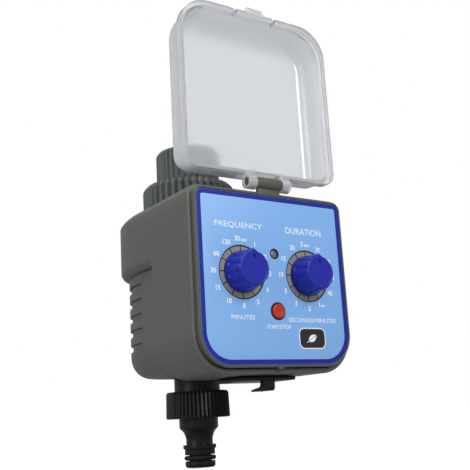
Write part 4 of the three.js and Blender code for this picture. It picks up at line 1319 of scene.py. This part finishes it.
@dataclass
class ClearLid:
    """The frosted lid, drawn open: a shallow tray with a band round its mouth and a thumb tab."""

    shop: Workshop
    hinge: Hinge = field(default_factory=Hinge)
    face: Face = field(default_factory=Face)
    half: float = 45.05
    near: float = 4.7
    far: float = 93.3
    rim: float = 0.75
    depth: float = 19.0
    wall: float = 1.5
    step: float = 1.0
    band: float = 5.0
    draft: float = 0.3
    fillet: float = 6.0
    r_near: float = 8.0
    r_far: float = 18.0
    slot_x: float = 12.2
    slot: float = 1.8
    tab: float = 6.4
    tab_reach: float = 2.6

    def ring(self, inset: float, y: float, tighter: float = 0.0) -> list[Vector]:
        """Returns the lid's outline inset on every side, at a depth."""
        low, high = self.hinge.z + self.near + inset, self.hinge.z + self.far - inset
        outline = rounded_outline(self.half - inset, low, high, max(self.r_near - tighter, 0.8),
                                  max(self.r_far - tighter, 2), 14)
        return [Vector((x, y, z)) for x, z in outline]

    def mouth(self, y: float) -> list[Vector]:
        """Returns the rebate that drops over the bezel's rim."""
        grow = 1.6
        low = 2 * self.hinge.z - self.face.high - grow
        high = self.hinge.z + self.far - self.step - self.wall
        outline = rounded_outline(self.face.half + grow, low, high, self.face.r_high + grow,
                                  self.face.r_low + grow, 14)
        return [Vector((x, y, z)) for x, z in outline]

    def shell(self) -> bmesh.types.BMesh:
        """Returns the wall of the lid as one closed skin: hollow side, mouth, band and back."""
        front = self.hinge.y + self.rim
        back = front + self.depth
        inner_fillet = self.fillet - self.wall
        inner = self.step + self.wall
        rings = []
        for i in range(9):
            turn = math.radians(90 * i / 8)
            pinch = inner_fillet * (1 - math.sin(turn))
            rings.append(self.ring(inner + self.draft + pinch,
                                   back - self.wall - inner_fillet * (1 - math.cos(turn)),
                                   self.wall + pinch))
        rings += [self.ring(inner, front + 2.3, self.wall), self.mouth(front + 2.2), self.mouth(front)]
        edge = front + self.band
        lip = ((0.2, front, 6.4), (0.0, front + 0.2, 6.5), (0.0, edge - 0.35, 6.5), (0.12, edge - 0.1, 6.6),
               (0.4, edge, 6.9))
        rings += [self.ring(inset, y, self.r_near - less) for inset, y, less in lip]
        rings += [self.ring(self.step - 0.15, edge), self.ring(self.step, edge + 0.2)]
        for i in range(11):
            turn = math.radians(9 * i)
            pinch = self.fillet * (1 - math.cos(turn))
            rings.append(self.ring(self.step + self.draft + pinch,
                                   back - self.fillet * (1 - math.sin(turn)), pinch))
        return loft(rings)

    def ears(self) -> list[bmesh.types.BMesh]:
        """Returns the two rings that hold the axle, each with its arm."""
        hinge = self.hinge
        parts = []
        for side in (-1, 1):
            x0, x1 = sorted((side * (hinge.half_barrel + 0.3), side * (hinge.half_axle + 0.5)))
            parts.append(stand(rod((x0, x1), 3.6, 0.35), Facing.RIGHT, (0, hinge.y, hinge.z)))
            parts.append(cuboid((x0 + 0.05, x1 - 0.05), (hinge.y - 0.6, hinge.y + 3.2),
                                (hinge.z + 2, hinge.z + self.near + 0.6), 0.3))
        return parts

    def build(self) -> None:
        """Makes the lid with its ears, slots and thumb tab."""
        hinge = self.hinge
        front, far = hinge.y + self.rim, hinge.z + self.far
        piece = solid("clear_lid_skin", self.shell())
        tab = prism([(-self.tab, far - 1), (self.tab, far - 1), (self.tab - 1.5, far + self.tab_reach),
                     (-self.tab + 1.5, far + self.tab_reach)], (-front - 1.6, -front), Facing.FRONT, 0.4)
        carve(piece, [tab, *self.ears()], Cut.JOIN)
        slots = [cuboid((x - self.slot / 2, x + self.slot / 2), (front - 1, front + self.band - 0.6),
                        (far - 4.4, far + 2)) for x in (-self.slot_x, self.slot_x)]
        clearance = cuboid((-hinge.half_barrel, hinge.half_barrel), (-1, front + 2.6),
                           (hinge.z, hinge.z + 6.6))
        bore = stand(rod((-20, 20), hinge.axle + 0.3), Facing.RIGHT, (0, hinge.y, hinge.z))
        finger = prism(rounded_outline(3.6, far - 0.4, far + 1.4, 0.5, 0.5, 5), (-front - 0.9, -front + 1),
                       Facing.FRONT)
        carve(piece, [blended(*slots), clearance, bore, finger])
        self.shop.place.settle(piece, self.shop.paints["frosted clear"], Body.LID, "lid_clear",
                               ["clear_lid"], 38)


# ---------------------------------------------------------------- under and over the case
@dataclass
class BatteryDrawer:
    """The black drawer that slides out of the underside with its two cells."""

    shop: Workshop
    cap: tuple[Point, Point, Point] = ((-16.2, 16.2), (10.8, 34.0), (-6.6, -4.5))
    tray: tuple[Point, Point, Point] = ((-12.6, 12.6), (14.0, 27.4), (-5.6, 49.0))
    wall: float = 1.2
    cell_radius: float = 5.25
    cell_x: float = 5.75
    cell_y: float = 20.6
    cell_z: Point = (-0.8, 43.7)

    def build(self) -> None:
        """Makes the drawer and its cells."""
        (x0, x1), (y0, y1), (_, z1) = self.tray
        piece = solid("battery_drawer_skin", cuboid(*self.cap, 0.7))
        hook = softened([(10.8, -6.1, 0), (10.8, -11.4, 2.4), (21.8, -11.4, 0.3), (22.0, -10.5, 0.4),
                         (14.2, -9.4, 2.0), (14.0, -6.1, 0)], 6)
        carve(piece, [cuboid(*self.tray, 0.5), prism(hook, (-3.1, 3.1), Facing.RIGHT, 0.2)], Cut.JOIN)
        wall = self.wall
        hollow = cuboid((x0 + wall, x1 - wall), (y0 - 1, y1 - wall), (-2.1, z1 - wall), 0.6)
        carve(piece, [hollow])
        self.shop.place.settle(piece, self.shop.paints["black plastic"], Body.DRAWER, "black_plastic",
                               ["battery_drawer"])
        for name, side in (("left", -1), ("right", 1)):
            self.cell(name, side)

    def cell(self, name: str, side: int) -> None:
        """Makes one cell, tip up on the right and tip down on the left."""
        low, high = self.cell_z
        long, r = high - low, self.cell_radius
        profile = softened([(0, 0.15, 0), (3.6, 0.15, 0.1), (3.9, 0, 0.1), (r, 0, 0.5), (r, long, 0.5),
                            (2.6, long, 0.2), (2.3, long - 0.3, 0.1), (1.9, long - 0.3, 0),
                            (1.9, long + 0.95, 0.3), (0, long + 0.95, 0)])
        bm = lathe(profile, 64)
        if side < 0:
            bm.transform(Matrix.Rotation(math.pi, 4, "X") @ Matrix.Translation((0, 0, -long)))
        piece = solid(f"battery_{name}_skin", stand(bm, Facing.UP, (side * self.cell_x, self.cell_y, low)))
        mesh = piece.data
        for finish in ("cell sleeve", "steel"):
            mesh.materials.append(self.shop.paints[finish])
        for polygon in mesh.polygons:
            x, y, _ = polygon.center
            polygon.material_index = int(math.hypot(x - side * self.cell_x, y - self.cell_y) < r - 0.35)
        self.shop.place.settle(piece, None, Body.DRAWER, "metal_can", [f"battery_{name}"])


@dataclass
class Column:
    """What the pieces on the water column share: its axis, behind the panel."""

    shop: Workshop
    y: float = 78.1

    def turn(self, name: str, corners: Sequence[Corner], segments: int = 96,
             reach: Callable[[float, float, float], float] | None = None) -> bpy.types.Object:
        """Returns a turned piece about its own axis, still standing at the middle of the case."""
        return solid(f"{name}_skin", lathe(softened(corners), segments, reach))

    def finish(self, piece: bpy.types.Object, paint: str, body: Body, slot: str,
               crease: float = 40) -> None:
        """Moves a piece onto the column and settles it in place of the node of its name."""
        piece.data.transform(Matrix.Translation((0, self.y, 0)))
        node = piece.name.removesuffix("_skin")
        self.shop.place.settle(piece, self.shop.paints[paint], body, slot, [node], crease)

    def flute(self, piece: bpy.types.Object, count: int, depth: float, sharpness: float,
              paint: str) -> None:
        """Presses even flutes round a piece where its grip attribute allows."""
        run_tree(piece, self.shop.rules.flutes, Count=float(count), Depth=depth, Sharpness=sharpness,
                 Finish=self.shop.paints[paint])


@dataclass
class Inlet(Column):
    """The swivel nut, the thread adapter in it, the washer and the filter."""

    nut_radius: float = 26.15
    nut: Point = (86.3, 107.5)
    nut_flutes: int = 40
    adapter_radius: float = 17.95
    adapter_flutes: int = 32
    socket: float = 13.2
    mouth: float = 128.2

    def build(self) -> None:
        """Makes every piece of the inlet."""
        r, (low, high) = self.nut_radius, self.nut
        nut = self.turn("inlet_nut", [(13.5, low, 0.2), (r - 0.5, low, 0.4), (r, low + 0.8, 0.5),
                                      (r, high - 2.6, 0.9), (r - 2.2, high, 0.7), (17, high, 0.3),
                                      (17, low + 4, 0), (13.5, low + 4, 0.2)], self.nut_flutes * 8)
        grip(nut, lambda at: ease(math.hypot(at.x, at.y), r - 2.6, r - 1.4) * ease(at.z, low, low + 0.6))
        self.flute(nut, self.nut_flutes, 1.4, 5.0, "ring grey")
        self.finish(nut, "ring grey", Body.SWIVEL, "ring_grey")
        self.adapter()
        washer = self.turn("tap_washer", [(7.8, 115.3, 0.5), (12.9, 115.3, 0.5), (12.9, 117.8, 0.7),
                                          (7.8, 117.8, 0.7)])
        self.finish(washer, "rubber", Body.SWIVEL, "rubber")
        strainer = self.turn("inlet_filter", [(0, 103, 0), (6.2, 103, 0.4), (7.1, 105, 0.4),
                                              (7.1, 114.3, 0), (12.6, 114.3, 0.1), (12.6, 115, 0.2),
                                              (6.4, 115, 0.3), (6.4, 105.6, 0.2), (5.8, 103.7, 0.2),
                                              (0, 103.7, 0)])
        self.finish(strainer, "white nylon", Body.SWIVEL, "nylon_white")

    def adapter(self) -> None:
        """Makes the adapter ring with the thread in its socket."""
        r, low, top, bore = self.adapter_radius, self.nut[1] + 0.3, self.mouth, self.socket
        ring = self.turn("inlet_adapter", [(7.5, 95.2, 0.2), (16.6, 95.2, 0.6), (16.6, low, 0),
                                           (r, low, 0.3), (r, top - 1.9, 0.6), (r - 1.5, top, 0.5),
                                           (bore + 0.7, top, 0.3), (bore, top - 0.8, 0.3), (bore, 114, 0),
                                           (7.5, 114, 0.3)],
                         self.adapter_flutes * 8)
        grip(ring, lambda at: ease(math.hypot(at.x, at.y), r - 1.4, r - 0.6) * ease(at.z, low, low + 0.6))
        self.flute(ring, self.adapter_flutes, 1.2, 5.0, "ring grey")
        helix = solid("helix", bmesh.new())
        run_tree(helix, self.shop.rules.thread, Radius=bore + 0.25, Turns=4.5, Height=8.2, Ridge=0.75,
                 Finish=self.shop.paints["ring grey"])
        work = bmesh.new()
        work.from_mesh(ring.data)
        helix.data.transform(Matrix.Translation((0, 0, 118.6)))
        work.from_mesh(helix.data)
        work.to_mesh(ring.data)
        work.free()
        bpy.data.objects.remove(helix)
        self.finish(ring, "ring grey", Body.SWIVEL, "ring_grey")


@dataclass
class Outlet(Column):
    """The valve body's stub and the ribbed quick-connect end screwed on it."""

    collar: Point = (-22.0, -7.9)
    ribs: int = 50
    wing: float = 17.6
    wing_half: float = 4.6
    ring_centre: Point = (7.35, -42.7)
    ring_radius: float = 1.2

    def build(self) -> None:
        """Makes the valve body, the connector and its rubber ring."""
        self.valve()
        low, high = self.collar
        corners = [(5, -20, 0), (13.45, -20, 0), (13.45, high, 0.2), (16.2, high, 0.3),
                   (16.9, high - 1.1, 0.5),
                   (17.2, low + 0.5, 0.3), (16.8, low, 0.2), (10.5, low, 0.5), (10.5, -27, 0.4),
                   (8.2, -29.4, 0.6), (7.2, -32.4, 0.8), (7.2, -35.9, 0.3), (8.9, -35.9, 0.25),
                   (8.9, -37.8, 0.25), (8.15, -38.1, 0.1), (8.15, -41, 0.2), (5.8, -41.1, 0.1),
                   (5.8, -44.3, 0.1), (8.05, -44.4, 0.2), (8.05, -46.8, 0.4), (7.3, -47.6, 0.2),
                   (4.5, -47.6, 0.3), (4.5, -26, 0)]

        def reach(r: float, h: float, angle: float) -> float:
            """Fills out the two smooth wings of the collar."""
            if (r < 15.9 or not low - 0.1 < h < high + 0.1
                    or abs(math.tan(angle)) > self.wing_half / self.wing):
                return r
            slant = abs(math.cos(angle))
            return r + (self.wing - 17.2) / slant + (17.2 / slant - 17.2) * 0.5

        piece = self.turn("outlet_connector", corners, self.ribs * 8, reach)

        def hold(at: Vector) -> float:
            """Returns 1 on the ribbed sides of the collar."""
            wing = ease(abs(math.atan2(abs(at.y), abs(at.x))), 0.27, 0.3)
            return ease(math.hypot(at.x, at.y), 15.9, 16.6) * ease(at.z, low + 0.2, low + 1) * wing

        grip(piece, hold)
        self.flute(piece, self.ribs, 0.75, 1.3, "black plastic")
        self.finish(piece, "black plastic", Body.CASE, "black_plastic")
        r, z = self.ring_centre
        circle = [(r + self.ring_radius * math.cos(math.radians(15 * i)),
                   z + self.ring_radius * math.sin(math.radians(15 * i)), 0) for i in range(24)]
        self.finish(self.turn("nipple_ring", circle), "rubber", Body.CASE, "rubber")

    def valve(self) -> None:
        """Makes the valve body, of which only the outlet stub shows."""
        piece = self.turn("valve_body", [(6.5, -17.2, 0.2), (13.1, -17.2, 0.4), (13.1, -8.6, 0.1),
                                         (12.4, -8.6, 0), (12.4, 30, 0.5), (15, 32, 0.5), (15, 72, 0.4),
                                         (12.6, 72, 0), (12.6, 57, 0), (10.2, 57, 0), (10.2, 34, 0),
                                         (6.5, 34, 0)])
        piece.data.transform(Matrix.Translation((0, self.y, 0)))
        boss = stand(rod((-67.5, -62.6), 6, 0.3), Facing.FRONT, (0, 0, 44.2))
        carve(piece, [boss], Cut.JOIN)
        carve(piece, [stand(rod((-69.9, -60), 3.1), Facing.FRONT, (0, 0, 44.2)),
                      stand(rod((-65, -60), 4.4), Facing.FRONT, (0, 0, 44.2))])
        self.shop.place.settle(piece, self.shop.paints["neck grey"], Body.CASE, "black_plastic",
                               ["valve_body"])


SLOT_FINISHES = {
    "case_grey": "case grey", "ring_grey": "ring grey", "black_plastic": "black plastic",
    "rubber": "rubber", "label_blue": "label blue", "knob_blue": "knob blue",
    "button_red": "button red", "lid_clear": "frosted clear", "lamp_smoke": "lamp smoke",
    "lamp_red": "button red", "board_green": "board green", "steel": "steel",
    "nylon_white": "white nylon", "brass": "brass", "metal_can": "steel", "lead_sleeve": "lead sleeve",
}


@dataclass
class Works:
    """The pieces inside the case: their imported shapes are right, so they only take their finishes."""

    shop: Workshop

    def dress(self) -> None:
        """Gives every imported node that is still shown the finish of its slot."""
        for name, node in frame["nodes"].items():
            if node.hide_render:
                continue
            paint = self.shop.paints[SLOT_FINISHES[slot_of(name)]]
            if not node.material_slots:
                node.data.materials.append(paint)
            for holder in node.material_slots:
                holder.material = paint
            LOG.info("%s: %s", name, paint.name)


def slot_of(node: str) -> str:
    """Returns the record's material slot that lists a node."""
    return next(entry["material_slot"] for entry in frame["record"]["subparts"] if entry["node"] == node)


# ---------------------------------------------------------------- the studio
@dataclass
class Lamp:
    """One soft light, aimed at the middle of the object."""

    name: str
    place: tuple[float, float, float]
    size: float
    watts: float
    colour: Colour = (1.0, 1.0, 1.0)


@dataclass
class Studio:
    """The camera, the lights and a pale floor under the object."""

    eye: tuple[float, float, float] = (-0.225586, -0.378439, -0.152693)
    heading: float = -34.133
    pitch: float = 12.814
    roll: float = -3.279
    lens: float = 60.71
    shift: Point = (-0.0015, 0.0108)
    target: tuple[float, float, float] = (0.0, -0.04, -0.06)
    sky: float = 0.42
    backdrop: float = 1.0
    floor_drop: float = 0.0005
    floor_half: float = 12.0
    floor_tone: float = 0.5
    floor_roughness: float = 0.9
    floor_glow: float = 0.85
    lamps: tuple[Lamp, ...] = (
        Lamp("key_light", (0.08, -0.98, 0.38), 0.45, 5.1), Lamp("fill_light", (-1.0, -0.2, 0.2), 0.5, 3.1),
        Lamp("top_light", (-0.4, 0.1, 0.8), 0.35, 2.4))

    def build(self) -> None:
        """Makes the camera first, then the light and the floor."""
        self.camera()
        world = bpy.data.worlds.new("sky")
        bpy.context.scene.world = world
        world.use_nodes = True
        background = next(n for n in world.node_tree.nodes if n.type == "BACKGROUND")
        work = Wiring(world.node_tree)
        path = work.node("ShaderNodeLightPath").outputs
        seen = work.maths("MAXIMUM", path["Is Camera Ray"], path["Is Transmission Ray"])
        brighter = work.maths("MULTIPLY", seen, self.backdrop - self.sky)
        work.fill(background, {"Color": (1, 1, 1, 1), "Strength": work.maths("ADD", brighter, self.sky)})
        bpy.context.scene.view_settings.view_transform = "Standard"
        for lamp in self.lamps:
            self.light(lamp)
        self.floor()

    def camera(self) -> None:
        """Makes the camera from its heading, pitch and roll."""
        heading, pitch, roll = (math.radians(a) for a in (self.heading, self.pitch, self.roll))
        ahead = Vector((-math.sin(heading) * math.cos(pitch), math.cos(heading) * math.cos(pitch),
                        math.sin(pitch)))
        right = Vector((math.cos(heading), math.sin(heading), 0))
        up = right.cross(ahead)
        tilted = right * math.cos(roll) + up * math.sin(roll)
        raised = up * math.cos(roll) - right * math.sin(roll)
        data = bpy.data.cameras.new("camera")
        data.lens = self.lens
        data.sensor_width = 36
        data.shift_x, data.shift_y = self.shift
        data.clip_start = 0.01
        camera = bpy.data.objects.new("camera", data)
        turn = Matrix((tilted, raised, -ahead)).transposed()
        camera.matrix_world = Matrix.Translation(self.eye) @ turn.to_4x4()
        bpy.context.scene.collection.objects.link(camera)
        bpy.context.scene.camera = camera

    def light(self, lamp: Lamp) -> None:
        """Makes one square area light."""
        data = bpy.data.lights.new(lamp.name, "AREA")
        data.size = lamp.size
        data.energy = lamp.watts
        data.color = lamp.colour
        light = bpy.data.objects.new(lamp.name, data)
        aim = Vector(self.target) - Vector(lamp.place)
        turn = aim.to_track_quat("-Z", "Y").to_matrix().to_4x4()
        light.matrix_world = Matrix.Translation(lamp.place) @ turn
        bpy.context.scene.collection.objects.link(light)

    def floor(self) -> None:
        """Makes a wide white floor just under the object."""
        level = CAD_BOX[0][2] - self.floor_drop
        bm = bmesh.new()
        bmesh.ops.create_grid(bm, x_segments=1, y_segments=1, size=self.floor_half)
        bmesh.ops.translate(bm, verts=bm.verts, vec=(0, 0, level))
        floor = solid("studio_floor", bm)
        material = bpy.data.materials.new("studio white")
        material.use_nodes = True
        shader = next(n for n in material.node_tree.nodes if n.type == "BSDF_PRINCIPLED")
        work = Wiring(material.node_tree)
        seen = work.node("ShaderNodeLightPath").outputs["Is Camera Ray"]
        tone = self.floor_tone
        work.fill(shader, {"Base Color": (tone, tone, tone, 1), "Roughness": self.floor_roughness,
                           "Specular IOR Level": 0.0, "Emission Color": (1, 1, 1, 1),
                           "Emission Strength": work.maths("MULTIPLY", seen, self.floor_glow)})
        floor.data.materials.append(material)


def main() -> None:
    """Builds the studio and then the object, one sub-assembly after another."""
    logging.basicConfig(level=logging.INFO, format="%(name)s: %(message)s")
    Studio().build()
    shop = Workshop(CaseFrame.read(), Paints(), Rules())
    RearHousing(shop).build()
    FrontBezel(shop).build()
    FaceLabel(shop).build()
    face = Face()
    Dial(shop, "frequency", Body.FREQUENCY, -face.dial_x).build()
    Dial(shop, "duration", Body.DURATION, face.dial_x).build()
    Controls(shop).build()
    ClearLid(shop).build()
    BatteryDrawer(shop).build()
    Inlet(shop).build()
    Outlet(shop).build()
    Works(shop).dress()


if __name__ == "__main__":
    main()
